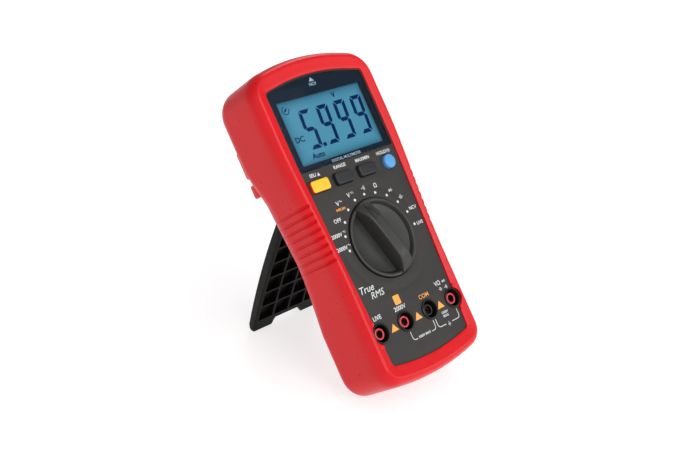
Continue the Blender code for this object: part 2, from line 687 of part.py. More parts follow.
def stand_angle():
    """Turn of the stand, from folded, that puts its foot on the same ground as the case."""
    up = Vector((0, math.cos(LEAN), math.sin(LEAN)))
    ground = min(Vector(p).dot(up) for k in range(5) for p in rear_ring(math.pi / 8 * k))
    height = Vector((0, HINGE_Y, HINGE_Z)).dot(up) - ground
    reach = math.hypot(STAND_LENGTH, 1.0)
    return LEAN + math.acos(height / reach) + math.atan2(1.0, STAND_LENGTH)


def stand_skin(along, inner=False):
    """Height of the stand's outer or inner face above its hinge line, at a distance along it."""
    if inner:
        return -2.7 + 0.0820 * along - 0.00067 * along ** 2
    return 2.7 + 0.1130 * along - 0.00102 * along ** 2


def tilt_stand():
    """Bowed leg with a pocketed inner face. It is drawn folded, then opened by its hinge empty."""
    angle = stand_angle()
    hinge = empty("stand_hinge", METER, (0, HINGE_Y, HINGE_Z), (angle, 0, 0))
    slope = math.tan(angle - LEAN)
    barrel = [Vector((2.7 * math.sin(k * math.pi / 6), 2.7 * math.cos(k * math.pi / 6)))
              for k in range(7)]
    inner_face = [Vector((-s, stand_skin(s, inner=True))) for s in (20, 40, 60, 80, 94)]
    foot = [Vector((-STAND_LENGTH, -1.0)),
            Vector((-STAND_LENGTH - STAND_FOOT_FLAT * slope, -1.0 + STAND_FOOT_FLAT)),
            Vector((-STAND_LENGTH - 0.3, 3.2))]
    outer_face = [Vector((-s, stand_skin(s))) for s in (95, 80, 65, 50, 35, 20, 8)]
    leg = plate([barrel + inner_face + foot + outer_face], -STAND_HALF_WIDTH, STAND_HALF_WIDTH)
    leg.transform(Matrix(((0, 0, -1, 0), (1, 0, 0, 0), (0, -1, 0, 0), (0, 0, 0, 1))))
    stand = add("tilt_stand", leg, "dark", hinge)
    pins = cylinders([(0, 0, -28.8, 28.8, 2.0)], 24)
    pins.transform(Matrix.Rotation(math.pi / 2, 4, "Y"))
    combine(stand, "UNION", pins)
    combine(stand, "DIFFERENCE", stand_pockets())
    notch = [Vector((-13, -STAND_LENGTH - 4)), Vector((13, -STAND_LENGTH - 4)),
             Vector((13, -STAND_LENGTH - 1)), Vector((9.5, -STAND_LENGTH + 5)),
             Vector((-9.5, -STAND_LENGTH + 5)), Vector((-13, -STAND_LENGTH - 1))]
    combine(stand, "DIFFERENCE", plate([notch], -12, 12))


def stand_pockets():
    """Grid of pockets that leaves the stand's skin, side walls and ribs."""
    columns, rows = 4, 7
    edge, rib, skin = STAND_HALF_WIDTH - 2.2, 1.4, 2.0
    first, last = 8.0, 89.5
    wide = (2 * edge - rib * (columns - 1)) / columns
    tall = (last - first - rib * (rows - 1)) / rows
    spots = []
    for row in range(rows):
        near = first + row * (tall + rib)
        depth = stand_skin(near + tall / 2) - skin
        for column in range(columns):
            x = -edge + column * (wide + rib)
            spots.append(((x, -near - tall, -depth), (x + wide, -near, 9.0)))
    return boxes(spots)


def set_on_ground():
    """Moves the meter so that its box stands centred on the world origin."""
    bpy.context.view_layer.update()
    graph = bpy.context.evaluated_depsgraph_get()
    corners = []
    for piece in PARTS.objects:
        if piece.type == "MESH":
            mesh = piece.evaluated_get(graph).data
            corners += [piece.matrix_world @ v.co for v in mesh.vertices]
    low = Vector([min(c[i] for c in corners) for i in range(3)])
    high = Vector([max(c[i] for c in corners) for i in range(3)])
    METER.location -= Vector(((low.x + high.x) / 2, (low.y + high.y) / 2, low.z))


def main():
    front_case()
    front_panel()
    display_stack()
    circuit_board()
    selector()
    keys()
    sockets()
    rear_case()
    batteries()
    battery_cover()
    case_screws()
    tilt_stand()
    set_on_ground()


main()
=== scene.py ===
"""Looks of the handheld digital multimeter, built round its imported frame.

Lengths are millimetres in the meter's own frame: X across, Y up the case, Z out of the front panel, with
the origin where the selector's axis meets the panel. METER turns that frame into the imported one, in metres.
"""
import json
import math

import bmesh
import bpy
from mathutils import Matrix, Vector


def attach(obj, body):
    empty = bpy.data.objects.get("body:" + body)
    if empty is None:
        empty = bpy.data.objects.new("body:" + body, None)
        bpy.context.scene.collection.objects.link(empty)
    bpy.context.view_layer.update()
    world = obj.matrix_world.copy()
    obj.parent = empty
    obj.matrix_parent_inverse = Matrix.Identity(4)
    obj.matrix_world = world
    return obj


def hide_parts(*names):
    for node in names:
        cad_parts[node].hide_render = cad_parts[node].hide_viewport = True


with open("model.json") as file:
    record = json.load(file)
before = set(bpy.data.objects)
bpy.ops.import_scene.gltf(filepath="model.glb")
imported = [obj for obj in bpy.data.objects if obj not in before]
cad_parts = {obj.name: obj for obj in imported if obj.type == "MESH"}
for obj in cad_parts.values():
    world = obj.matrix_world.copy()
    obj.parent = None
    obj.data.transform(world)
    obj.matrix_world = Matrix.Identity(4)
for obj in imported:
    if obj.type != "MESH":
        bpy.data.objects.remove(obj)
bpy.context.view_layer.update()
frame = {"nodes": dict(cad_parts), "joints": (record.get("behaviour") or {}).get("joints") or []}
joints = {joint["name"]: joint for joint in frame["joints"]}
MM = 0.001
WELD = 0.0005
QUARTER = math.pi / 2


def meter_frame():
    """The meter's frame, read from the selector's joint: its axis is Z, and X lies level."""
    out = Vector(joints["selector_turn"]["axis"]).normalized()
    across = Vector((1, 0, 0))
    turn = Matrix((across, out.cross(across), out)).transposed().to_4x4()
    return Matrix.Translation(joints["selector_turn"]["pos_m"]) @ turn @ Matrix.Scale(MM, 4)


METER = meter_frame()

# ----- driving dimensions
CASE_CORNERS = [(0, -80.1, 160), (39.4, -73.1, 12), (39.4, -9, 300), (44.0, 56, 300),
                (44.0, 102.2, 16), (0, 111.4, 125)]
PANEL_CORNERS = [(0, -69.5, 138), (30.1, -63.7, 2), (33.2, 0, 300), (35.35, 54, 200),
                 (35.3, 92.5, 2.4), (0, 100.0, 125)]
LENS_CORNERS = [(0, 46.3, 60), (34.3, 46.4, 1.2), (34.6, 92.0, 2.0), (0, 98.7, 125)]
GAP = 0.3
RIM_TOP, LIP_BOTTOM, LIP_TOP = 1.6, -1.3, 0.75
RIM_ACROSS, RIM_DOWN = 4.6, 8.2
REAR_Z, WALL = -36.8, 2.5
REAR_ROUNDING = [(-80, 9.0), (-70, 8.0), (-60, 6.5), (-35, 6.5), (-18, 10.5), (4, 15.0),
                 (40, 15.0), (60, 8.0), (110, 8.0)]
PARTING = math.radians(45)
SHOULDER_STEPS, REAR_STEPS, BACK_STEPS = 14, 8, 10
GROOVES_Y = [29.4 - 4.41 * i for i in range(8)]
GROOVE_DEPTH, GROOVE_HALF = 0.95, 1.25

KNOB_RADIUS, KNOB_HOLE, KNOB_TURN = 22.3, 22.8, math.radians(18)
DIAL_STEP = math.radians(18)
WINDOW, WINDOW_X = (30.9, 49.8, 86.2), 0.9
CELL, CELL_TOP, CELL_DEPTH, CELL_GRID = (32.5, 46.8, 88.0), -3.4, 2.2, (40, 28)
# how far to the right the painted shade at the cell's edges is moved, so that it lies deepest along the left
# edge
EDGE_SHADE_SHIFT = 1.2
SEGMENTS = {"5": "afgcd", "9": "abcdfg"}
DIGIT_Y, SLANT = 57.2, 0.076
NEEDLE_MARK = [Vector(p) for p in ((-25.2, 80.7), (-23.9, 81.0), (-22.6, 83.2), (-24.6, 82.2))]
KEY_Y, KEY_TOP = 37.5, 2.2
KEY_X = {"select": -26.5, "range": -9.0, "maxmin": 8.5}
KEY_SIZE = (12.5, 6.5)
HOLD_X, HOLD_RADIUS = 26.0, 4.0
JACK_Y = -45.8
JACK_X = {"live": -28.5, "high_voltage": -9.5, "common": 9.5, "volt_ohm": 28.5}
JACK_WELL, JACK_BOSS = 4.7, 5.6
JACK_PAD = 8.7
DIAL_RING = (27.4, 30.8)

RECESS = (26.7, -63.0, 41.0)
RECESS_FLOOR = -30.9
BAY = (22.2, -36.0, 14.0)
BAY_CEILING = -18.3
HINGE_Y, HINGE_Z = 36.5, -34.0
CASE_SCREWS = [(27.0, 95.5), (-27.0, 95.5), (31.0, -66.0), (-31.0, -66.0)]
COVER_SCREW_Y = -42.5
STAND_HALF, STAND_LENGTH, FOOT_FLAT = 26.0, 97.4, 2.0


# ----- materials
def fed(tree, node, inputs):
    """Gives a node's sockets their constants, or links them to other nodes' sockets."""
    for name, value in inputs.items():
        if isinstance(value, bpy.types.NodeSocket):
            tree.links.new(value, node.inputs[name])
        else:
            node.inputs[name].default_value = value
    return node


def added(tree, kind, inputs=None):
    return fed(tree, tree.nodes.new("ShaderNode" + kind), inputs or {})


def principled(name, colour, roughness, metallic=0.0, specular=0.5):
    made = bpy.data.materials.new(name)
    made.use_nodes = True
    tree = made.node_tree
    shader = fed(tree, tree.nodes["Principled BSDF"], {
        "Base Color": (*colour, 1), "Roughness": roughness, "Metallic": metallic,
        "Specular IOR Level": specular})
    return made, tree, shader


def noise(tree, per_metre, detail=3.0):
    place = added(tree, "TexCoord").outputs["Object"]
    return added(tree, "TexNoise", {"Scale": per_metre, "Detail": detail, "Vector": place}).outputs["Fac"]


def spread(tree, factor, low, high):
    """factor, which hovers about a half, stretched to run from low to high."""
    return added(tree, "MapRange", {"Value": factor, "From Min": 0.3, "From Max": 0.7, "To Min": low,
                                    "To Max": high}).outputs["Result"]


def mixed(tree, factor, first, second):
    mix = tree.nodes.new("ShaderNodeMix")
    mix.data_type = "RGBA"
    return fed(tree, mix, {0: factor, 6: (*first, 1), 7: (*second, 1)}).outputs[2]


def bump(tree, factor, distance):
    return added(tree, "Bump", {"Height": factor, "Distance": distance * MM}).outputs["Normal"]


def shade(colour, share):
    return tuple(min(1.0, c * share) for c in colour)


def plastic(name, colour, roughness, grain, depth, variation, specular=0.5):
    """Moulded plastic: slow drift of colour, uneven polish and a spark-eroded grain of the given size."""
    made, tree, shader = principled(name, colour, roughness, specular=specular)
    drift = spread(tree, noise(tree, 45.0), 0.0, 1.0)
    fed(tree, shader, {
        "Base Color": mixed(tree, drift, shade(colour, 1 - variation), shade(colour, 1 + variation)),
        "Roughness": spread(tree, noise(tree, 300.0), roughness - 0.05, roughness + 0.05),
        "Normal": bump(tree, noise(tree, 1 / (grain * MM), 2.0), depth)})
    return made


def metal(name, colour, roughness):
    """Plated or turned metal with fine streaks and a little uneven tarnish."""
    made, tree, shader = principled(name, colour, roughness, 1.0)
    tarnish = spread(tree, noise(tree, 160.0), 0.0, 1.0)
    fed(tree, shader, {
        "Base Color": mixed(tree, tarnish, shade(colour, 0.82), colour),
        "Roughness": spread(tree, noise(tree, SCRATCHES, 5.0), roughness - 0.08, roughness + 0.1),
        "Normal": bump(tree, noise(tree, SCRATCHES * 2, 2.0), 0.004)})
    return made


def display_cell():
    """The cell's blue backlight glow, darkened towards its edges, most at the left and at the top, as painted
    shade of the window's border.
    """
    made, tree, shader = principled("display_cell", (0.035, 0.110, 0.150), 0.5, specular=0.0)
    place = tree.nodes.new("ShaderNodeAttribute")
    place.attribute_name = "edge_distance"
    # the ramp's dark end is painted shade along the window's border; its bright end is the backlight's own
    # glow
    ramp = added(tree, "ValToRGB", {"Fac": place.outputs["Fac"]})
    ramp.color_ramp.elements[0].color = (0.010, 0.060, 0.125, 1)
    ramp.color_ramp.elements[1].color = (0.085, 0.300, 0.420, 1)
    ramp.color_ramp.elements[1].position = 0.5
    drift = spread(tree, noise(tree, 60.0), 0.0, 1.0)
    fed(tree, shader, {"Base Color": mixed(tree, drift, (0.033, 0.104, 0.142), (0.037, 0.116, 0.158)),
                       "Emission Color": ramp.outputs["Color"], "Emission Strength": 0.68})
    return made


def window_pane():
    """Hard-coated clear acrylic: light passes straight through, and the outer surface has its own gloss."""
    made = bpy.data.materials.new("window_pane")
    made.use_nodes = True
    tree = made.node_tree
    tree.nodes.clear()
    clear = added(tree, "BsdfTransparent", {"Color": (0.93, 0.96, 0.98, 1)})
    gloss = added(tree, "BsdfGlossy", {"Color": (0.22, 0.22, 0.22, 1), "Roughness": 0.08})
    edge = added(tree, "Fresnel", {"IOR": 1.45})
    side = added(tree, "NewGeometry")
    outer = added(tree, "Math", {0: edge.outputs["Fac"], 1: side.outputs["Backfacing"]})
    outer.operation = "SUBTRACT"
    outer.use_clamp = True
    mix = added(tree, "MixShader", {"Fac": outer.outputs["Value"], 1: clear.outputs["BSDF"],
                                    2: gloss.outputs["BSDF"]})
    added(tree, "OutputMaterial", {"Surface": mix.outputs["Shader"]})
    return made


# colour, roughness, size and depth of the grain, drift of the colour, and specular level where it isn't 0.5
PLASTICS = {
    "shell": ((0.640, 0.006, 0.011), 0.32, 0.4, 0.003, 0.03, 0.25),
    "panel": ((0.037, 0.0352, 0.0335), 0.52, 0.28, 0.02, 0.05, 0.2),
    "knob": ((0.0155, 0.0150, 0.0140), 0.40, 0.28, 0.02, 0.05),
    "rubber": ((0.0045, 0.0045, 0.0040), 0.52, 0.30, 0.02, 0.12, 0.12),
    "mask": ((0.013, 0.021, 0.033), 0.40, 0.4, 0.0, 0.02, 0.0),
    "key_black": ((0.018, 0.0185, 0.020), 0.42, 0.2, 0.01, 0.08, 0.3),
    "key_yellow": ((0.86, 0.53, 0.030), 0.40, 0.2, 0.01, 0.05, 0.3),
    "key_side": ((0.62, 0.030, 0.020), 0.40, 0.2, 0.01, 0.05),
    "key_blue": ((0.085, 0.315, 0.640), 0.36, 0.2, 0.01, 0.05, 0.4),
    "insulator_red": ((0.62, 0.030, 0.045), 0.36, 0.2, 0.008, 0.06),
    "insulator_black": ((0.007, 0.007, 0.007), 0.36, 0.2, 0.008, 0.08, 0.3),
    "white": ((0.74, 0.75, 0.76), 0.42, 0.3, 0.01, 0.05),
    "board": ((0.015, 0.130, 0.050), 0.34, 0.5, 0.01, 0.15),
    "chip": ((0.015, 0.015, 0.016), 0.45, 0.15, 0.02, 0.1),
    "orange_part": ((0.60, 0.30, 0.06), 0.45, 0.3, 0.03, 0.12),
    "blue_part": ((0.04, 0.13, 0.42), 0.4, 0.3, 0.02, 0.12),
    "jacket": ((0.05, 0.10, 0.22), 0.28, 0.5, 0.005, 0.1),
    "print_white": ((0.66, 0.67, 0.68), 0.5, 0.2, 0.01, 0.06),
    "print_orange": ((0.88, 0.37, 0.055), 0.5, 0.2, 0.01, 0.06),
    "print_navy": ((0.003, 0.022, 0.085), 0.6, 0.2, 0.0, 0.05, 0.0),
    "print_pale": ((0.42, 0.55, 0.64), 0.5, 0.2, 0.0, 0.05),
}
METALS = {"steel": ((0.56, 0.57, 0.59), 0.32), "brass": ((0.74, 0.53, 0.22), 0.28)}
SCRATCHES = 900.0
MATERIALS = {name: plastic(name, *facts) for name, facts in PLASTICS.items()}
MATERIALS.update({name: metal(name, *facts) for name, facts in METALS.items()})


# ----- outlines
def clamped(t):
    return max(0.0, min(1.0, t))


def rounded_outline(corners, corner_steps, side_steps):
    """Closed mirror-symmetric outline: the right half from bottom to top, then back down the left."""
    count = len(corners)
    spots = [Vector((x, y)) for x, y, _ in corners]
    before = [Vector((-spots[1].x, spots[1].y))] + spots[:-1]
    after = spots[1:] + [Vector((-spots[-2].x, spots[-2].y))]
    arcs = []
    for i in range(count):
        a, b = (before[i] - spots[i]).normalized(), (after[i] - spots[i]).normalized()
        half = math.acos(max(-1.0, min(1.0, a.dot(b)))) / 2
        radius = corners[i][2]
        centre = spots[i] + (a + b).normalized() * (radius / math.sin(half))
        start = spots[i] + a * (radius / math.tan(half)) - centre
        sweep = math.pi - 2 * half
        if a.x * b.y - a.y * b.x > 0:
            sweep = -sweep
        steps = corner_steps[i]
        arcs.append([centre + Matrix.Rotation(sweep * k / steps, 2) @ start for k in range(steps + 1)])
    arcs[0] = arcs[0][len(arcs[0]) // 2:]
    arcs[-1] = arcs[-1][:len(arcs[-1]) // 2 + 1]
    half_line = []
    for i, arc in enumerate(arcs):
        half_line += arc
        if i < count - 1:
            here, there = arc[-1], arcs[i + 1][0]
            half_line += [here.lerp(there, k / side_steps[i]) for k in range(1, side_steps[i])]
    kept = half_line[:1]
    for point in half_line[1:]:
        if (point - kept[-1]).length > 0.001:
            kept.append(point)
    return kept + [Vector((-p.x, p.y)) for p in reversed(kept[1:-1])]


def vectors(*pairs):
    return [Vector(pair) for pair in pairs]


def bow(x, y, radius, angles):
    return [Vector((x + radius * math.cos(angle), y + radius * math.sin(angle))) for angle in angles]


def rectangle(half_width, low, high, radius=0.0, steps=6):
    """Closed outline of a rectangle centred on x = 0, with round corners if radius is given."""
    if not radius:
        return vectors((-half_width, low), (half_width, low), (half_width, high), (-half_width, high))
    right, top, bottom = half_width - radius, high - radius, low + radius
    centres = ((right, top), (-right, top), (-right, bottom), (right, bottom))
    return [point for quadrant, (x, y) in enumerate(centres)
            for point in bow(x, y, radius, [(quadrant + k / steps) * QUARTER for k in range(steps + 1)])]


def circle(x, y, radius, segments=64):
    return bow(x, y, radius, [2 * math.pi * i / segments for i in range(segments)])


def shifted(outline, x, y=0.0):
    return [Vector((p.x + x, p.y + y)) for p in outline]


def normals_of(outline):
    runs = [(after - before).normalized()
            for before, after in zip(outline[-1:] + outline[:-1], outline[1:] + outline[:1])]
    return [Vector((run.y, -run.x)) for run in runs]


def divided(outline, parts):
    """The same outline with each side cut into parts."""
    return [a.lerp(b, k / parts) for a, b in zip(outline, outline[1:] + outline[:1]) for k in range(parts)]


def turned_left(outline):
    """The outline run anticlockwise, so that its normals point out."""
    area = sum(a.x * b.y - b.x * a.y for a, b in zip(outline, outline[1:] + outline[:1]))
    return outline if area > 0 else outline[::-1]


def grown(outline, distance):
    return [p + n * distance for p, n in zip(outline, normals_of(outline))]


# ----- meshes
def in_scene(name, data):
    item = bpy.data.objects.new(name, data)
    bpy.context.scene.collection.objects.link(item)
    return item


def evaluated(item):
    """The mesh an object shows after its modifiers; the object itself goes."""
    bpy.context.view_layer.update()
    graph = bpy.context.evaluated_depsgraph_get()
    mesh = bpy.data.meshes.new_from_object(item.evaluated_get(graph))
    bpy.data.objects.remove(item, do_unlink=True)
    return mesh


def from_bmesh(work):
    mesh = bpy.data.meshes.new("piece")
    work.to_mesh(mesh)
    work.free()
    return mesh


def closed_up(work):
    """Welds a bmesh's touching points, turns its faces out and gives its mesh."""
    bmesh.ops.remove_doubles(work, verts=work.verts, dist=WELD)
    bmesh.ops.recalc_face_normals(work, faces=work.faces)
    return from_bmesh(work)


def bridged(work, rows, closed=False):
    """Faces between each row of points and the next, and from the last row to the first if closed."""
    for lower, upper in list(zip(rows, rows[1:])) + ([(rows[-1], rows[0])] if closed else []):
        for i in range(len(lower)):
            j = (i + 1) % len(lower)
            work.faces.new((lower[i], lower[j], upper[j], upper[i]))


def plate(outlines, low, high, edge=0.0):
    """Flat plate between two heights with rounded edges. Outlines after the first are its holes."""
    outlines = [turned_left(outline) for outline in outlines]
    turns = [QUARTER * k / 3 for k in range(4)] if edge else [QUARTER]
    profile = [(edge * (1 - math.sin(a)), edge * (1 - math.cos(a))) for a in turns]
    profile = [(inset, low + rise) for inset, rise in profile] + [
        (inset, high - rise) for inset, rise in reversed(profile)]
    work = bmesh.new()
    for number, outline in enumerate(outlines):
        inwards = 1 if number else -1
        bridged(work, [[work.verts.new((p.x, p.y, z)) for p in grown(outline, inwards * inset)]
                       for inset, z in profile])
    for z in (low, high):
        rim = [grown(outline, edge * (1 if number else -1)) if edge else outline
               for number, outline in enumerate(outlines)]
        work.from_mesh(filled(rim, z))
    return closed_up(work)


def filled(outlines, z):
    """Flat sheet bounded by the first outline, with the others as its holes."""
    data = bpy.data.curves.new("outline", "CURVE")
    data.dimensions = "2D"
    data.fill_mode = "BOTH"
    for outline in outlines:
        spline = data.splines.new("POLY")
        spline.points.add(len(outline) - 1)
        for point, corner in zip(spline.points, outline):
            point.co = (corner.x, corner.y, 0, 1)
        spline.use_cyclic_u = True
    mesh = evaluated(in_scene("scratch", data))
    mesh.transform(Matrix.Translation((0, 0, z)))
    return mesh


def loft(rings, closed=False):
    """Skin through rings of equal count; the last meets the first, or both ends are capped."""
    work = bmesh.new()
    rows = [[work.verts.new(Vector(p)) for p in ring] for ring in rings]
    bridged(work, rows, closed)
    if not closed:
        work.faces.new(list(reversed(rows[0])))
        work.faces.new(rows[-1])
    bmesh.ops.recalc_face_normals(work, faces=work.faces)
    return from_bmesh(work)


def level(outline, z):
    return [(p.x, p.y, z) for p in outline]


def pillow(outline, profile):
    """Solid whose edge follows (inset, height) steps in from an outline, capped at both ends."""
    return loft([level(grown(outline, -inset), z) for inset, z in profile])


def turned(profile, segments=96, closed=False):
    """Solid of revolution about Z from (radius, height) points; a closed profile makes a ring."""
    work = bmesh.new()
    verts = [work.verts.new((r, 0, z)) for r, z in profile]
    edges = [work.edges.new(pair) for pair in zip(verts, verts[1:])]
    if closed:
        edges.append(work.edges.new((verts[-1], verts[0])))
    bmesh.ops.spin(work, geom=verts + edges, cent=(0, 0, 0), axis=(0, 0, 1), angle=2 * math.pi,
                   steps=segments, use_merge=True)
    return closed_up(work)


def cylinder(x, y, low, high, radius, top=None, segments=48):
    work = bmesh.new()
    bmesh.ops.create_cone(work, cap_ends=True, segments=segments, radius1=radius,
                          radius2=radius if top is None else top, depth=high - low,
                          matrix=Matrix.Translation((x, y, (low + high) / 2)))
    return from_bmesh(work)


def block(low, high):
    low, high = Vector(low), Vector(high)
    work = bmesh.new()
    bmesh.ops.create_cube(work, size=1.0, matrix=Matrix.Translation((low + high) / 2)
                          @ Matrix.Diagonal((*(high - low), 1.0)))
    return from_bmesh(work)


def moved(mesh, matrix):
    mesh.transform(matrix)
    return mesh


def placed_at(mesh, x, y, z=0.0):
    return moved(mesh, Matrix.Translation((x, y, z)))


def joined(meshes):
    """One mesh of several that don't touch."""
    work = bmesh.new()
    for mesh in meshes:
        work.from_mesh(mesh)
    return from_bmesh(work)


def carved(mesh, *steps):
    """The mesh after Booleans: each step is (operation, mesh)."""
    item = in_scene("carved", mesh)
    tools = []
    for operation, other in steps:
        tools.append(in_scene("tool", other))
        step = item.modifiers.new(operation, "BOOLEAN")
        step.operation = operation
        step.object = tools[-1]
        step.solver = "MANIFOLD"
    result = evaluated(item)
    for tool in tools:
        bpy.data.objects.remove(tool, do_unlink=True)
    return result


def shown(name, mesh, material, body, nodes=(), sharp=35.0):
    """Puts a finished mesh, in the meter's frame, into the scene as a piece riding on a body."""
    mesh.transform(METER)
    mesh.name = name
    if not any(mesh.materials):
        mesh.materials.clear()
        mesh.materials.append(MATERIALS[material])
    mesh.shade_smooth()
    mesh.set_sharp_from_angle(angle=math.radians(sharp))
    item = in_scene(name, mesh)
    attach(item, body)
    if nodes:
        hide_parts(*nodes)
    return item


# ----- case
def rear_radius(y):
    for (y0, r0), (y1, r1) in zip(REAR_ROUNDING, REAR_ROUNDING[1:]):
        if y <= y1:
            return r0 + (r1 - r0) * clamped((y - y0) / (y1 - y0))
    return REAR_ROUNDING[-1][1]


CASE = rounded_outline(CASE_CORNERS, [12, 28, 110, 14, 32, 16], [10, 40, 220, 14, 14])
CASE_NORMALS = normals_of(CASE)
PANEL = rounded_outline(PANEL_CORNERS, [24, 10, 10, 10, 16, 24], [4, 12, 12, 8, 4])


def panel_edge_behind(point, normal):
    """Where a line from the case's outline straight inwards first meets the panel's outline."""
    nearest = None
    for a, b in zip(PANEL, PANEL[1:] + PANEL[:1]):
        along = b - a
        cross = along.x * normal.y - along.y * normal.x
        if abs(cross) < 1e-9:
            continue
        gap = point - a
        share = (gap.x * normal.y - gap.y * normal.x) / cross
        depth = (gap.y * along.x - gap.x * along.y) / cross
        if -1e-6 <= share <= 1 + 1e-6 and depth > 0 and (nearest is None or depth < nearest):
            nearest = depth
    return point - normal * nearest


def groove_depth(point, share):
    """Depth of the grip grooves at an outline point; share fades them at the ends of each groove."""
    depth = 0.0
    for y in GROOVES_Y:
        away = abs(point.y - y) / GROOVE_HALF
        if away < 1 and abs(point.x) > 30:
            depth += GROOVE_DEPTH * 0.5 * (1 + math.cos(math.pi * away))
    return depth * share


def sunk(ring, share):
    """A ring pressed in along the grip grooves."""
    return [(x - n.x * groove_depth(p, share), y - n.y * groove_depth(p, share), z)
            for (x, y, z), p, n in zip(ring, CASE, CASE_NORMALS)]


def rear_ring(angle, thickness=0.0):
    """Ring on the rounded rear edge: angle 0 is the side, a right angle the flat back."""
    ring = []
    for p, n in zip(CASE, CASE_NORMALS):
        radius = rear_radius(p.y)
        place = p - n * (radius - (radius - thickness) * math.cos(angle))
        ring.append((place.x, place.y, REAR_Z + radius - (radius - thickness) * math.sin(angle)))
    return ring


def shoulder_ring(angle):
    """Ring on the rounded shoulder: angle 0 is the rim's ridge, a right angle the side."""
    inset = RIM_ACROSS * (1 - math.sin(angle))
    return level([p - n * inset for p, n in zip(CASE, CASE_NORMALS)],
                 RIM_TOP - RIM_DOWN * (1 - math.cos(angle)))


def side_ring(share):
    """Ring on the flat side, from the foot of the shoulder (0) to the start of the rear rounding (1)."""
    top = RIM_TOP - RIM_DOWN
    return [(p.x, p.y, top + (REAR_Z + rear_radius(p.y) - top) * share) for p in CASE]


def rim_ring(edge, share, height):
    """Ring on the sloping inner face of the rim, from the panel's edge (0) to the ridge (1)."""
    ring = []
    for p, n, q in zip(CASE, CASE_NORMALS, edge):
        place = q.lerp(p - n * RIM_ACROSS, share)
        ring.append((place.x, place.y, height))
    return ring


def front_shell():
    edge = [panel_edge_behind(p, n) for p, n in zip(CASE, CASE_NORMALS)]
    rings = [rim_ring(edge, 0, LIP_BOTTOM), rim_ring(edge, 0, LIP_TOP - 0.25),
             rim_ring(edge, 0.02, LIP_TOP - 0.08), rim_ring(edge, 0.06, LIP_TOP)]
    rings += [rim_ring(edge, share, LIP_TOP + (RIM_TOP - LIP_TOP) * share ** 1.2)
              for share in (0.3, 0.55, 0.8, 0.92)]
    for k in range(SHOULDER_STEPS + 1):
        angle = QUARTER * k / SHOULDER_STEPS
        rings.append(sunk(shoulder_ring(angle), 1.7 * clamped((angle - 0.25) / 0.35)
                          * (1 - 0.45 * clamped((angle - 0.7) / 0.8))))
    rings += [sunk(side_ring(k / 5), 0.9) for k in range(1, 5)]
    rings += [sunk(rear_ring(PARTING * k / REAR_STEPS), 0.9 * (1 - clamped((k - 1) / 4)))
              for k in range(REAR_STEPS + 1)]
    rings += [rear_ring(PARTING, WALL), rear_ring(0, WALL)]
    rings += [level([p - n * WALL for p, n in zip(CASE, CASE_NORMALS)], -7.0),
              level([p - n * RIM_ACROSS for p, n in zip(CASE, CASE_NORMALS)], LIP_BOTTOM)]
    shell = loft(rings, closed=True)
    pad = [(0, -1.0), (JACK_PAD, -1.0), (JACK_PAD, 0.2), (JACK_PAD - 0.3, 0.62), (JACK_PAD - 0.7, 0.95),
           (JACK_PAD - 1.1, 1.15), (JACK_PAD - 1.6, 1.22), (6.5, 1.1), (6.2, 0.95), (0, 0.95)]
    outer = (JACK_X["live"], JACK_X["volt_ohm"])
    steps = [("UNION", placed_at(turned(pad), x, JACK_Y)) for x in outer]
    steps += [("DIFFERENCE", cylinder(x, JACK_Y, -2.2, 3.0, JACK_BOSS + 0.45, segments=96)) for x in outer]
    steps.append(("DIFFERENCE", plate([grown(PANEL, -0.02)], -2.4, 3.0)))
    shown("front_shell", carved(shell, *steps), "shell", "meter", ["front_case"], 38)


def rear_shell():
    start, inner = PARTING + GAP / 8, PARTING + GAP / 6
    rings = [rear_ring(QUARTER, WALL), rear_ring((inner + QUARTER) / 2, WALL), rear_ring(inner, WALL)]
    rings += [rear_ring(start + (QUARTER - start) * k / BACK_STEPS) for k in range(BACK_STEPS + 1)]
    half, low, high = RECESS
    bay_half, bay_low, bay_high = BAY
    mouth = [level(rectangle(half + flare, low - flare, high + flare, 4.0 + flare), z)
             for flare, z in ((0, RECESS_FLOOR), (0, REAR_Z + 0.6), (0.6, REAR_Z), (0.6, -60))]
    cuts = [
        ("UNION", block((-half - 3.3, low - 2, -35.4), (half + 3.3, high + 2, RECESS_FLOOR + 2))),
        ("UNION", block((-bay_half - 1.6, bay_low - 1.6, -30), (bay_half + 1.6, bay_high + 1.6,
                                                               BAY_CEILING + 1.2))),
        ("UNION", cylinder(0, COVER_SCREW_Y, -30, -24, 3.2)),
        ("UNION", lead_holders()),
        ("DIFFERENCE", loft(mouth)),
        ("DIFFERENCE", block((-bay_half, bay_low, -33), (bay_half, bay_high, BAY_CEILING))),
        ("DIFFERENCE", block((-4.3, -47.3, -33), (4.3, bay_low + 1, -29.2))),
        ("DIFFERENCE", cylinder(0, COVER_SCREW_Y, -33, -25, 1.1, segments=24)),
        ("DIFFERENCE", joined([cylinder(x, y, -40, -30, 1.5, segments=32) for x, y in CASE_SCREWS])),
        ("DIFFERENCE", joined([cylinder(x, y, -40, REAR_Z + 1.2, 2.8) for x, y in CASE_SCREWS])),
        ("DIFFERENCE", moved(cylinder(0, 0, -29.1, 29.1, 2.3), across_at(HINGE_Y, HINGE_Z))),
    ]
    shown("rear_shell", carved(loft(rings), *cuts), "shell", "meter", ["rear_case"], 28)


def across_at(y, z):
    """Lays an upright mesh along X, through the given Y and Z."""
    return Matrix.Translation((0, y, z)) @ Matrix.Rotation(QUARTER, 4, "Y")


def lead_holders():
    """Fins behind each shoulder that grip a parked test probe."""
    profile = [(0, -34.3), (0, -38.4), (0.15, -38.75), (0.5, -38.9)]
    return joined([pillow(shifted(rectangle(1.6, low, high, 1.2), side * 37.8), profile)
                   for low, high in ((46.6, 54.4), (58.0, 74.0)) for side in (-1, 1)])


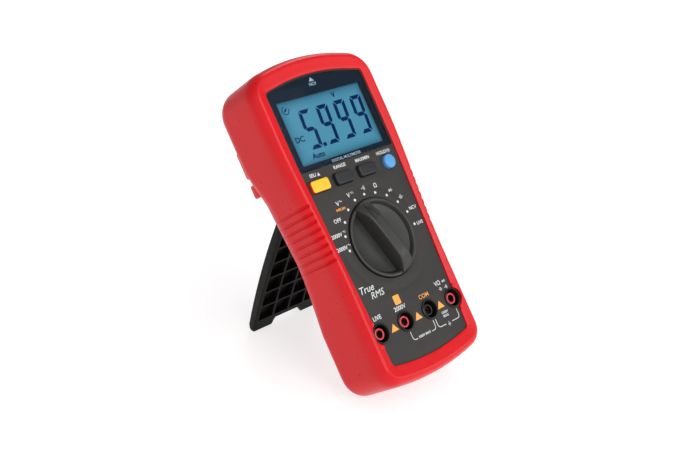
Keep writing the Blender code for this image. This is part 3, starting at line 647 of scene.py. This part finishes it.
# ----- front panel and its print
def front_plate():
    holes = [circle(0, 0, KNOB_HOLE, 128), shifted(rectangle(*WINDOW), WINDOW_X)]
    half, tall = KEY_SIZE[0] / 2 + GAP, KEY_SIZE[1] / 2 + GAP
    holes += [shifted(rectangle(half, KEY_Y - tall, KEY_Y + tall, 1.6), x) for x in KEY_X.values()]
    holes.append(circle(HOLD_X, KEY_Y, HOLD_RADIUS + GAP))
    panel = plate([grown(PANEL, -0.08)] + holes, -3.0, 0.0, 0.12)
    flange = plate([grown(PANEL, 2.0), grown(PANEL, -1.2)], -2.9, -1.6)
    lens = rounded_outline(LENS_CORNERS, [4, 8, 12, 12], [1, 1, 1])
    boss = [(0, -2), (JACK_BOSS, -2), (JACK_BOSS, 0.5), (JACK_BOSS - 0.12, 0.78), (JACK_BOSS - 0.35, 0.9),
            (0, 0.9)]
    well = [(0, -6), (JACK_WELL, -6), (JACK_WELL, 0.55), (JACK_WELL + 0.12, 0.8), (JACK_WELL + 0.3, 1.0),
            (0, 1.0)]
    bosses, wells = (joined([placed_at(turned(profile, 64), x, JACK_Y) for x in JACK_X.values()])
                     for profile in (boss, well))
    near, far = DIAL_RING
    dip = [(near + (far - near) * k / 12, -0.16 * math.sin(math.pi * k / 12)) for k in range(13)]
    ring = turned([(near - 0.1, 0.6), *dip, (far + 0.1, 0.6)], 160, closed=True)
    mesh = carved(panel, ("UNION", flange), ("UNION", bosses), ("DIFFERENCE", wells),
                  ("DIFFERENCE", plate([lens], -1.45, 2)), ("DIFFERENCE", ring))
    tinted(mesh, "panel", "insulator_black", lambda face: jack_distance(face.center) < JACK_BOSS and all(
        jack_distance(mesh.vertices[i].co) < JACK_BOSS + 0.02 for i in face.vertices))
    shown("front_plate", mesh, "panel", "meter", ["front_panel"], 30)


def jack_distance(point):
    """Distance across the panel to the nearest socket's axis."""
    return min(math.hypot(point.x - x, point.y - JACK_Y) for x in JACK_X.values())


LABEL_WEIGHT = 0.06
FINE = 0.25
# text, x, y and size, then the added weight and the lean where they aren't the usual ones
WHITE_LABELS = [
    ("2000V", -29.3, 2.3, 2.9), ("2000V", -29.2, 9.6, 2.9), ("OFF", -24.6, 16.9, 3.0),
    ("V", -19.9, 25.2, 3.4), ("V", -10.6, 27.5, 3.4), ("Ω", 9.8, 27.6, 3.3),
    ("NCV", 28.9, 8.9, 2.7), ("LIVE", 29.4, -0.3, 2.6),
    ("True", -25.6, -21.9, 5.4, 0.03, 0.25), ("RMS", -19.9, -26.4, 5.2, 0.0, 0.25),
    ("LIVE", -26.7, -37.7, 3.3), ("2000V", -9.5, -38.1, 3.3), ("VΩ", 22.5, -35.2, 3.4),
    ("SEL/", -27.6, 43.7, 2.7), ("RANGE", -8.0, 44.0, 2.7), ("MAXMIN", 9.0, 43.7, 2.7),
    ("HOLD/", 24.2, 43.6, 2.7), ("1000V MAX", -0.8, -56.7, 1.9, 0.03), ("1000V\nMAX", 19.0, -51.9, 2.0, 0.03),
]
ORANGE_LABELS = [("INRUSH", -19.3, 22.0, 1.9, 0.05), ("COM", 9.6, -37.9, 3.4, 0.02)]
PALE_LABELS = [("NCV", -0.9, 91.3, 2.5, 0.04), ("DIGITAL MULTIMETER", 0.4, 47.9, 2.2, 0.03)]
DISPLAY_LABELS = [("DC", -22.9, 64.4, 4.4, 0.12), ("Auto", -15.2, 53.6, 4.4, 0.12),
                  ("V", 11.6, 83.0, 4.3, 0.14)]


def script(body, x, y, size, weight=LABEL_WEIGHT, lean=0.0):
    """Printed lettering centred on a point, as a thin solid standing just proud of z = 0."""
    data = bpy.data.curves.new("lettering", "FONT")
    data.body = body
    data.size = size
    data.offset = weight
    data.shear = lean
    data.align_x = "CENTER"
    data.align_y = "CENTER"
    data.extrude = 0.02
    data.resolution_u = 3
    work = bmesh.new()
    work.from_mesh(evaluated(in_scene("scratch", data)))
    return placed_at(closed_up(work), x, y, 0.03)


def flat(outlines):
    """Print as a thin solid standing just proud of z = 0."""
    return plate(outlines, 0.01, 0.05)


def stroke(points, width=0.35):
    """A printed line of even width along open points."""
    points = vectors(*points)
    left, right = [], []
    for i, point in enumerate(points):
        ahead = points[min(i + 1, len(points) - 1)] - point
        behind = point - points[max(i - 1, 0)]
        along = (ahead.normalized() + behind.normalized()).normalized()
        stretch = 1.0
        if ahead.length and behind.length:
            stretch = 1 / max(0.4, along.dot(ahead.normalized()))
        side = Vector((-along.y, along.x)) * (width / 2 * stretch)
        left.append(point + side)
        right.append(point - side)
    return flat([right + left[::-1]])


def arc(x, y, radius, start, end, steps=8):
    """Points of an arc between two angles in degrees."""
    return bow(x, y, radius, [math.radians(start + (end - start) * k / steps) for k in range(steps + 1)])


def triangle(x, y, width, height):
    return flat([vectors((x - width / 2, y), (x + width / 2, y), (x, y + height))])


def wave(x, y, width, height):
    return stroke([(x + width * (k / 12 - 0.5), y + height * math.sin(2 * math.pi * k / 12))
                   for k in range(13)], 0.28)


def direct(x, y, width):
    """The direct-current sign: a line over three dashes."""
    dash = width / 5
    starts = [x + (2 * k - 1.5) * dash for k in range(3)]
    return [stroke([(x - width / 2, y + 0.35), (x + width / 2, y + 0.35)], FINE)] + [
        stroke([(start, y - 0.35), (start + dash, y - 0.35)], FINE) for start in starts]


def buzzer_sign(x, y, size):
    waves = [stroke(arc(x - size * 0.45, y, size * r, -42, 42, 6), FINE) for r in (0.45, 0.75, 1.05)]
    return [flat([circle(x - size * 0.5, y, size * 0.16, 16)])] + waves


def upright(x, y, half, width):
    return stroke([(x, y - half), (x, y + half)], width)


def diode_sign(x, y, size):
    return [stroke([(x - size, y), (x + size, y)], FINE),
            flat([vectors((x - size * 0.5, y - size * 0.55), (x + size * 0.4, y),
                          (x - size * 0.5, y + size * 0.55))]),
            upright(x + size * 0.5, y, size * 0.6, 0.3)]


def capacitor_sign(x, y, size):
    gap = size * 0.25
    return [stroke([(x - size, y), (x - gap, y)], FINE), stroke([(x + gap, y), (x + size, y)], FINE),
            upright(x - gap, y, size * 0.7, 0.32), upright(x + gap, y, size * 0.7, 0.32)]


def bracket(left, right, top, bottom, mark, radius=1.8):
    """White bracket that joins two sockets from below, broken round its middle label."""
    near = [(left, top)] + arc(left + radius, bottom + radius, radius, 180, 270) + [(mark[0], bottom)]
    far = [(right, top)] + arc(right - radius, bottom + radius, radius, 0, -90) + [(mark[1], bottom)]
    return [stroke(near, 0.4), stroke(far, 0.4)]


def panel_print():
    dots = [(k - 5) * DIAL_STEP for k in range(11)]
    white = [flat([circle(25.2 * math.sin(angle), 25.2 * math.cos(angle), 0.75, 24)]) for angle in dots]
    white += [script(*label) for label in WHITE_LABELS]
    white += [wave(-23.9, 3.2, 1.6, 0.4), *direct(-23.7, 10.4, 1.7), wave(-17.4, 26.1, 1.7, 0.4),
              *direct(-7.9, 28.3, 1.8), *buzzer_sign(0.9, 28.6, 1.9), *diode_sign(18.6, 22.3, 1.7),
              *capacitor_sign(23.9, 16.8, 1.7), *diode_sign(27.4, -35.2, 1.5),
              *capacitor_sign(23.2, -38.6, 1.4), *buzzer_sign(27.4, -38.7, 1.6),
              triangle(-23.7, 42.7, 2.0, 1.9), *lamp_sign(29.6, 43.6, 0.75),
              *bracket(-9.6, 8.6, -51.9, -56.9, (-6.4, 5.0)),
              *bracket(10.5, 28.0, -52.0, -57.1, (16.4, 21.5)), *ground_sign(18.9, -57.6)]
    orange = [script(*label) for label in ORANGE_LABELS]
    orange.append(flat([shifted(rectangle(2.3, -2.6, 2.6, 0.7), -9.1, -33.5)]))
    orange += [triangle(x, -48.1, 5.6, 4.2) for x in (-18.6, 0.0, 18.1)]
    shown("panel_print_white", joined(white), "print_white", "meter")
    shown("panel_print_orange", joined(orange), "print_orange", "meter")


def lamp_sign(x, y, size):
    turns = [k * math.pi / 4 for k in range(8)]
    rays = [stroke([(x + size * r * math.cos(turn), y + size * r * math.sin(turn)) for r in (1.25, 1.8)], 0.2)
            for turn in turns]
    return [flat([circle(x, y, size, 20), circle(x, y, size * 0.6, 20)])] + rays


def ground_sign(x, y):
    rows = [stroke([(x - half, y - 0.5 * k), (x + half, y - 0.5 * k)], FINE)
            for k, half in enumerate((1.1, 0.7, 0.3))]
    return [stroke([(x, y + 1.4), (x, y)], FINE)] + rows


# ----- display
def display():
    lens = rounded_outline([(x - GAP * (x > 0), y + (GAP if y < WINDOW[1] else -GAP), r)
                            for x, y, r in LENS_CORNERS], [6, 8, 14, 14], [1, 1, 1])
    window = shifted(rectangle(*WINDOW, 0.6), WINDOW_X)
    pane = shown("display_pane", plate([lens], -1.0, 0.0, 0.15), "white", "meter",
                 ["display_lens"])
    pane.data.materials[0] = window_pane()
    shown("display_mask", plate([grown(lens, -0.05), window], -1.2, -1.05), "mask", "meter")
    pale = [triangle(-0.85, 93.0, 3.6, 2.3)] + [script(*label) for label in PALE_LABELS]
    shown("display_print", placed_at(joined(pale), 0, 0, -1.06), "print_pale", "meter")
    cell = shown("display_cell", cell_mesh(), "white", "meter", ["lcd_glass"])
    cell.data.materials[0] = display_cell()
    marks = [script(*label) for label in DISPLAY_LABELS]
    marks += [flat([lean_box(-9.3, DIGIT_Y, 2.3, 2.1)]), flat([NEEDLE_MARK]),
              stroke(arc(-24.0, 81.6, 2.2, 100, 380, 24), 0.5)]
    for number, digit in enumerate("5999"):
        marks += digit_segments(digit, -18.4 + 12.75 * number)
    shown("display_segments", placed_at(joined(marks), 0, 0, CELL_TOP), "print_navy", "meter")


def cell_mesh():
    """The cell as a block whose front face carries each point's distance to the window's edge, which sets the
    painted shade of its glow.
    """
    half, low, high = CELL
    columns, rows = CELL_GRID
    work = bmesh.new()
    across = [WINDOW_X - half + 2 * half * i / columns for i in range(columns + 1)]
    grid = [[work.verts.new((x, low + (high - low) * j / rows, CELL_TOP)) for x in across]
            for j in range(rows + 1)]
    for j in range(rows):
        for i in range(columns):
            work.faces.new((grid[j][i], grid[j][i + 1], grid[j + 1][i + 1], grid[j + 1][i]))
    for item in bmesh.ops.extrude_face_region(work, geom=work.faces[:])["geom"]:
        if isinstance(item, bmesh.types.BMVert):
            item.co.z -= CELL_DEPTH
    bmesh.ops.recalc_face_normals(work, faces=work.faces)
    mesh = from_bmesh(work)
    shading = mesh.attributes.new("edge_distance", "FLOAT", "POINT")
    # distance to the window's edge, shifted to the right and wider at the top, which places the painted shade
    # of the border
    window_half, window_low, window_high = WINDOW
    for vert, value in zip(mesh.vertices, shading.data):
        x, y = vert.co.x - WINDOW_X - EDGE_SHADE_SHIFT, vert.co.y
        across = min(x + window_half, window_half - x) / 6
        along = min((y - window_low) / 5, (window_high - y) / 6)
        value.value = 0.5 * clamped(min(across, along)) ** 0.6
    return mesh


def lean_box(x, y, width, height):
    lean = SLANT * height
    return vectors((x, y), (x + width, y), (x + width + lean, y + height), (x + lean, y + height))


def digit_segments(digit, left):
    """Mitred bars of a seven-segment digit, leaning to the right."""
    width, height, t, gap = 8.5, 22.4, 2.3, 0.16
    middle, half = height / 2, t / 2
    bars = []
    for name in SEGMENTS[digit]:
        if name in "ad":
            outer, inner = (height, height - t) if name == "a" else (0, t)
            bars.append([(0.5 + gap, outer), (width - 0.5 - gap, outer), (width - t - gap, inner),
                         (t + gap, inner)])
        elif name == "g":
            bars.append([(half + gap, middle), (t + gap, middle + half), (width - t - gap, middle + half),
                         (width - half - gap, middle), (width - t - gap, middle - half),
                         (t + gap, middle - half)])
        else:
            outer, inner = (0, t) if name in "ef" else (width, width - t)
            centre = half if name in "ef" else width - half
            tip, far = (middle, height) if name in "fb" else (middle, 0)
            away = 1 if far > tip else -1
            bars.append([(centre, tip + away * gap), (inner, tip + away * (half + gap)),
                         (inner, far - away * (t + gap)), (outer, far - away * (0.5 + gap)),
                         (outer, tip + away * (half + gap))])
    return [flat([[Vector((left + x + SLANT * y, DIGIT_Y + y)) for x, y in bar]]) for bar in bars]


# ----- selector, keys and sockets
GRIP_SECTIONS = [(0, 6.6, 3.4), (0.2, 6.58, 3.4), (0.36, 6.5, 3.42), (0.48, 6.42, 3.5), (0.56, 6.28, 3.6),
                 (0.62, 6.02, 3.7), (0.68, 5.6, 3.82), (0.73, 5.15, 3.95), (0.78, 4.62, 4.1),
                 (0.86, 3.65, 4.42), (0.93, 2.7, 4.75), (0.975, 1.95, 5.0), (1, 1.3, 5.15)]
GRIP_FOOT, GRIP_ROOT = 5.4, -2.5


def knob():
    dish = [(0, -8.3), (5.0, -8.3), (5.0, -4.3), (24.2, -4.3), (24.2, -3.3), (22.3, -3.3), (22.3, 0.6),
            (22.22, 0.9), (22.0, 1.12), (21.7, 1.2), (20.7, 1.2), (20.4, 1.1), (20.15, 0.85), (19.35, -0.75),
            (19.1, -1.08), (18.7, -1.2), (12.0, -1.26), (0, -1.3)]
    arrow = vectors((-1.7, 11.8), (1.7, 11.8), (0.25, 19.6), (-0.25, 19.6))
    engraving = plate([divided(grown(arrow, 0.15), 10), divided(grown(arrow, -0.2), 10)], -0.4, 0.4)
    for vert in engraving.vertices:
        vert.co.z += grip_height(vert.co.y)
    mesh = carved(turned(dish, 128), ("UNION", grip_bar()), ("DIFFERENCE", engraving))
    shown("selector_grip", moved(mesh, Matrix.Rotation(KNOB_TURN, 4, "Z")), "knob", "selector",
          ["selector_knob"], 30)


def grip_height(y):
    """Height of the grip bar's crown at a distance from the selector's axis."""
    share = abs(y) / (KNOB_RADIUS - 0.1)
    for (s0, h0, _), (s1, h1, _) in zip(GRIP_SECTIONS, GRIP_SECTIONS[1:]):
        if share <= s1:
            return h0 + (h1 - h0) * (share - s0) / (s1 - s0)
    return GRIP_SECTIONS[-1][1]


def grip_bar():
    """Crowned bar across the dish, its sides drafted, its long edges rounded, its ends on the rim."""
    radius = KNOB_RADIUS - 0.1
    rings = []
    across = 8
    for share, height, half in [(-s, h, w) for s, h, w in reversed(GRIP_SECTIONS)] + GRIP_SECTIONS[1:]:
        foot = GRIP_FOOT + 0.5 * abs(share)
        soft = min(0.7, (height - 1.0) * 0.3)
        ring = [(foot * k / across, GRIP_ROOT) for k in range(-across, across + 1)]
        side = Vector((foot - half, GRIP_ROOT - height)).normalized() * soft
        corner = Vector((half, height))
        inwards = corner - Vector((soft, 0))
        bend = [(corner + side) * (1 - t) ** 2 + corner * 2 * t * (1 - t) + inwards * t ** 2
                for t in (0, 0.25, 0.5, 0.75, 1)]
        crown = [((half - soft) * k / across, height) for k in range(across - 1, -across, -1)]
        ring += [tuple(p) for p in bend] + crown + [(-p.x, p.y) for p in reversed(bend)]
        rings.append([(x, share * math.sqrt(radius ** 2 - x ** 2), z) for x, z in ring])
    return loft(rings)


def keys():
    wide, tall = KEY_SIZE
    cap = rectangle(wide / 2, -tall / 2, tall / 2, 1.5, 8)
    profile = [(-1, -4.3), (-1, -3.3), (-0.02, -3.29), (0, -3.2), (0.0, KEY_TOP - 0.75),
               (0.08, KEY_TOP - 0.4), (0.28, KEY_TOP - 0.15), (0.6, KEY_TOP - 0.03), (1.2, KEY_TOP)]
    for name, x in KEY_X.items():
        mesh = placed_at(pillow(cap, profile), x, KEY_Y)
        if name == "select":
            tinted(mesh, "key_side", "key_yellow", lambda face: face.normal.z > 0.5 and face.center.z > 0)
        shown(name + "_cap", mesh, "key_black", name + "_key",
              [name + "_button"])
    radius = HOLD_RADIUS
    hold = [(0, -4.3), (radius + 1, -4.3), (radius + 1, -3.3), (radius, -3.3), (radius, KEY_TOP - 0.8),
            (radius - 0.1, KEY_TOP - 0.42), (radius - 0.38, KEY_TOP - 0.14), (radius - 0.85, KEY_TOP),
            (0, KEY_TOP)]
    shown("hold_cap", placed_at(turned(hold), HOLD_X, KEY_Y), "key_blue", "hold_key",
          ["hold_button"])


def tinted(mesh, first, second, chosen):
    """Gives the mesh two materials, the second one on the polygons that are chosen."""
    mesh.materials.clear()
    mesh.materials.append(MATERIALS[first])
    mesh.materials.append(MATERIALS[second])
    for polygon in mesh.polygons:
        polygon.material_index = 1 if chosen(polygon) else 0


def sockets():
    cup = [(0, -21.0), (5.6, -21.0), (5.6, -3.3), (4.7, -3.3), (4.7, -19.6), (3.2, -19.6), (3.2, -1.35),
           (3.12, -1.1), (2.9, -1.0), (2.4, -1.0), (2.2, -1.1), (2.1, -1.3), (2.1, -3.0), (2.8, -3.0),
           (2.8, -19.2), (0, -19.2)]
    for name, x in JACK_X.items():
        dark = name == "common"
        mesh = turned(cup)
        tinted(mesh, "insulator_black", "insulator_black" if dark else "insulator_red",
               lambda face: Vector(face.center[:2]).length < 3.3 and face.center.z > -1.6)
        shown(name + "_jack", placed_at(mesh, x, JACK_Y), "insulator_red", "meter",
              [name + "_jack_insulator"])


# ----- back: cover, screws and stand
def cross_screw(x, y, head_top, tip, head_radius, shank_radius, head_height):
    """Pan-head screw with a cross recess, its head towards the back."""
    head = [(0, head_top), (head_radius, head_top), (head_radius, head_top - head_height * 0.55),
            (head_radius * 0.85, head_top - head_height * 0.9), (head_radius * 0.6, head_top - head_height),
            (0, head_top - head_height)]
    shank = [(0, tip), (shank_radius * 0.4, tip), (shank_radius, tip - 1.2), (shank_radius, head_top - 0.1),
             (0, head_top - 0.1)]
    low, high = head_top - head_height - 1, head_top - head_height * 0.35
    long, thin = head_radius * 0.6, head_radius * 0.14
    cross = carved(block((-long, -thin, low), (long, thin, high)),
                   ("UNION", block((-thin, -long, low), (thin, long, high))))
    return placed_at(carved(turned(head, 40), ("UNION", turned(shank, 20)), ("DIFFERENCE", cross)), x, y)


def back_fittings():
    for number, (x, y) in enumerate(CASE_SCREWS, 1):
        shown(f"case_screw_{number}_head", cross_screw(x, y, REAR_Z + 0.9, -24.0, 2.4, 1.1, 0.9), "steel",
              "meter", [f"case_screw_{number}"])
    half, low, high = BAY
    base = RECESS_FLOOR
    lid = pillow(rectangle(half - GAP, low + GAP, high - GAP, 1.2),
                 [(0, -29.6), (0, base + 0.25), (0.08, base + 0.08), (0.25, base)])
    tongue = plate([rectangle(4, -47, low + 1.0, 0.8)], base, -29.5)
    ribs = joined([block((-9, y - 0.4, base - 1), (9, y + 0.4, base + 0.3)) for y in (4.0, 6.0, 8.0)])
    lid = carved(lid, ("UNION", tongue), ("DIFFERENCE", ribs),
                 ("DIFFERENCE", cylinder(0, COVER_SCREW_Y, base - 1, -28, 1.4, segments=32)),
                 ("DIFFERENCE", cylinder(0, COVER_SCREW_Y, base - 1, base + 0.95, 2.6)))
    shown("battery_lid", lid, "shell", "meter", ["battery_cover"], 28)
    shown("battery_lid_screw", cross_screw(0, COVER_SCREW_Y, base + 0.65, -25.6, 2.3, 0.85, 0.6), "steel",
          "meter", ["battery_cover_screw"])


def stand_skin(along, inner=False):
    """Height of the stand's outer or inner face above its hinge line, at a distance along it."""
    if inner:
        return -2.7 + 0.0820 * along - 0.00067 * along ** 2
    return 2.7 + 0.1130 * along - 0.00102 * along ** 2


def stand_place():
    """The stand is drawn folded about its hinge; the joint's closed limit gives the turn that opens it."""
    opened = -math.radians(joints["stand_hinge"]["range_deg"][0])
    lean = math.asin(METER.col[1].y / MM)
    return Matrix.Translation((0, HINGE_Y, HINGE_Z)) @ Matrix.Rotation(opened, 4, "X"), opened - lean


def leg():
    place, foot_slope = stand_place()
    slope = math.tan(foot_slope)
    barrel = bow(0, 0, 2.7, [QUARTER - math.pi * k / 16 for k in range(17)])
    inner = [Vector((-s, stand_skin(s, inner=True))) for s in range(10, 95, 3)]
    tip = -STAND_LENGTH
    foot = vectors((tip + 1.4, -1.35), (tip + 0.4, -1.3), (tip, -0.9),
                   (tip - (FOOT_FLAT - 0.1) * slope, -1.0 + FOOT_FLAT), (tip - 0.35, 2.2), (tip - 0.1, 2.9))
    outer = [Vector((-s, stand_skin(s))) for s in range(95, 5, -3)]
    side = plate([barrel + inner + foot + outer], -STAND_HALF, STAND_HALF, 0.6)
    mesh = moved(side, Matrix(((0, 0, -1, 0), (1, 0, 0, 0), (0, -1, 0, 0), (0, 0, 0, 1))))
    notch = vectors((-13, tip - 4), (13, tip - 4), (13, tip - 1), (9.5, tip + 5), (-9.5, tip + 5),
                    (-13, tip - 1))
    pins = moved(cylinder(0, 0, -28.8, 28.8, 2.0), Matrix.Rotation(QUARTER, 4, "Y"))
    mesh = carved(mesh, ("DIFFERENCE", stand_pockets()),
                  ("DIFFERENCE", plate([notch], -12, 12)), ("UNION", pins))
    shown("stand_leg", moved(mesh, place), "rubber", "stand", ["tilt_stand"], 30)


def stand_pockets():
    """Grid of drafted pockets that leaves the stand's skin, side walls and ribs."""
    columns, rows = 4, 7
    edge, rib, skin = STAND_HALF - 2.2, 1.4, 2.0
    first, last = 8.0, 89.5
    wide = (2 * edge - rib * (columns - 1)) / columns
    tall = (last - first - rib * (rows - 1)) / rows
    meshes = []
    for row in range(rows):
        near = first + row * (tall + rib)
        floor = -stand_skin(near + tall / 2) + skin
        for column in range(columns):
            outline = shifted(rectangle(wide / 2, -tall / 2, tall / 2, 0.6, 3),
                              -edge + column * (wide + rib) + wide / 2, -near - tall / 2)
            meshes.append(pillow(outline, [(0.25, floor), (0.0, floor + 2.5), (0.0, 9.0)]))
    return joined(meshes)


# ----- inside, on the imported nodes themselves
# by the start or the end of the node's name
NODE_MATERIALS = {
    "lcd_frame": "white", "backlight_panel": "white", "zebra_strip": "rubber", "main_circuit_board": "board",
    "measurement_chip": "chip", "crystal": "steel", "buzzer": "chip", "ptc_thermistor": "orange_part",
    "varistor": "blue_part", "high_voltage_resistor": "orange_part", "voltage_sensor_antenna": "brass",
    "knob_rotor": "white", "rotor_contact": "brass", "detent_": "steel", "battery_terminal": "steel",
    "battery_cell": "jacket", "battery_bridge": "steel", "_socket": "brass", "_plunger": "insulator_black",
    "_switch": "steel",
}


def finish_nodes():
    """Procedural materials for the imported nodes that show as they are."""
    for name, node in frame["nodes"].items():
        for key, material in NODE_MATERIALS.items():
            if name.startswith(key) or name.endswith(key):
                node.data.materials.clear()
                node.data.materials.append(MATERIALS[material])
                node.data.shade_smooth()
                node.data.set_sharp_from_angle(angle=math.radians(35))
                break


# ----- studio
# name, direction, width in degrees and strength
SOFTBOXES = [("overhead", (0.10, -0.60, 0.79), 60, 0.7), ("crest", (-0.05, -0.80, 0.60), 40, 1.25),
             ("low_right", (0.64, -0.74, 0.22), 24, 0.5), ("behind", (0.60, 0.45, 0.60), 26, 0.5),
             ("left", (-1.0, -0.2, 0.5), 60, 0.48)]
FLOOR_REACH = 12.0


def studio():
    """A pale floor, soft suns, and a world that is white to the eye but lights the case only faintly."""
    white = (1, 1, 1, 1)
    floor = bpy.data.meshes.new("floor")
    floor.from_pydata(level(rectangle(FLOOR_REACH, -FLOOR_REACH, FLOOR_REACH), 0), [], [(0, 1, 2, 3)])
    made, tree, shader = principled("floor", (0.44, 0.44, 0.44), 0.8)
    fed(tree, shader, {"Base Color": mixed(tree, noise(tree, 3.0), (0.43, 0.43, 0.43), (0.45, 0.45, 0.45)),
                       "Emission Color": white, "Emission Strength": 0.7})
    floor.materials.append(made)
    in_scene("floor", floor)
    world = bpy.data.worlds.new("studio")
    world.use_nodes = True
    tree = world.node_tree
    dim = fed(tree, tree.nodes["Background"], {"Color": white, "Strength": 0.3})
    pale = added(tree, "Background", {"Color": white})
    path = added(tree, "LightPath")
    mix = added(tree, "MixShader", {"Fac": path.outputs["Is Camera Ray"], 1: dim.outputs["Background"],
                                    2: pale.outputs["Background"]})
    fed(tree, tree.nodes["World Output"], {"Surface": mix.outputs["Shader"]})
    bpy.context.scene.world = world
    for softbox in SOFTBOXES:
        soft_sun(*softbox)
    bpy.context.scene.view_settings.view_transform = "Standard"


def soft_sun(name, towards, width, strength):
    """A distant softbox in a direction, as wide as the angle in degrees."""
    data = bpy.data.lights.new(name, "SUN")
    data.angle = math.radians(width)
    data.energy = strength
    in_scene(name, data).rotation_euler = Vector(towards).to_track_quat("Z", "Y").to_euler()


CAMERA_AZIMUTH, CAMERA_ELEVATION = math.radians(-44.70), math.radians(23.66)
CAMERA_OFFSET = Vector((-0.3706, -0.3492, 0.2300))
CAMERA_LENS, CAMERA_FRAME = 53.40, 36.0


def camera():
    """Three-quarter view from the left."""
    flat_share = math.cos(CAMERA_ELEVATION)
    back = Vector((math.sin(CAMERA_AZIMUTH) * flat_share, -math.cos(CAMERA_AZIMUTH) * flat_share,
                   math.sin(CAMERA_ELEVATION)))
    data = bpy.data.cameras.new("camera")
    data.lens = CAMERA_LENS
    data.sensor_width = CAMERA_FRAME
    data.clip_start = 0.02
    item = in_scene("camera", data)
    item.rotation_mode = "QUATERNION"
    item.location = METER.translation + CAMERA_OFFSET
    item.rotation_quaternion = (-back).to_track_quat("-Z", "Y")
    bpy.context.scene.camera = item


for build in (camera, front_shell, rear_shell, front_plate, panel_print, display, knob, keys, sockets,
              back_fittings, leg, finish_nodes, studio):
    build()
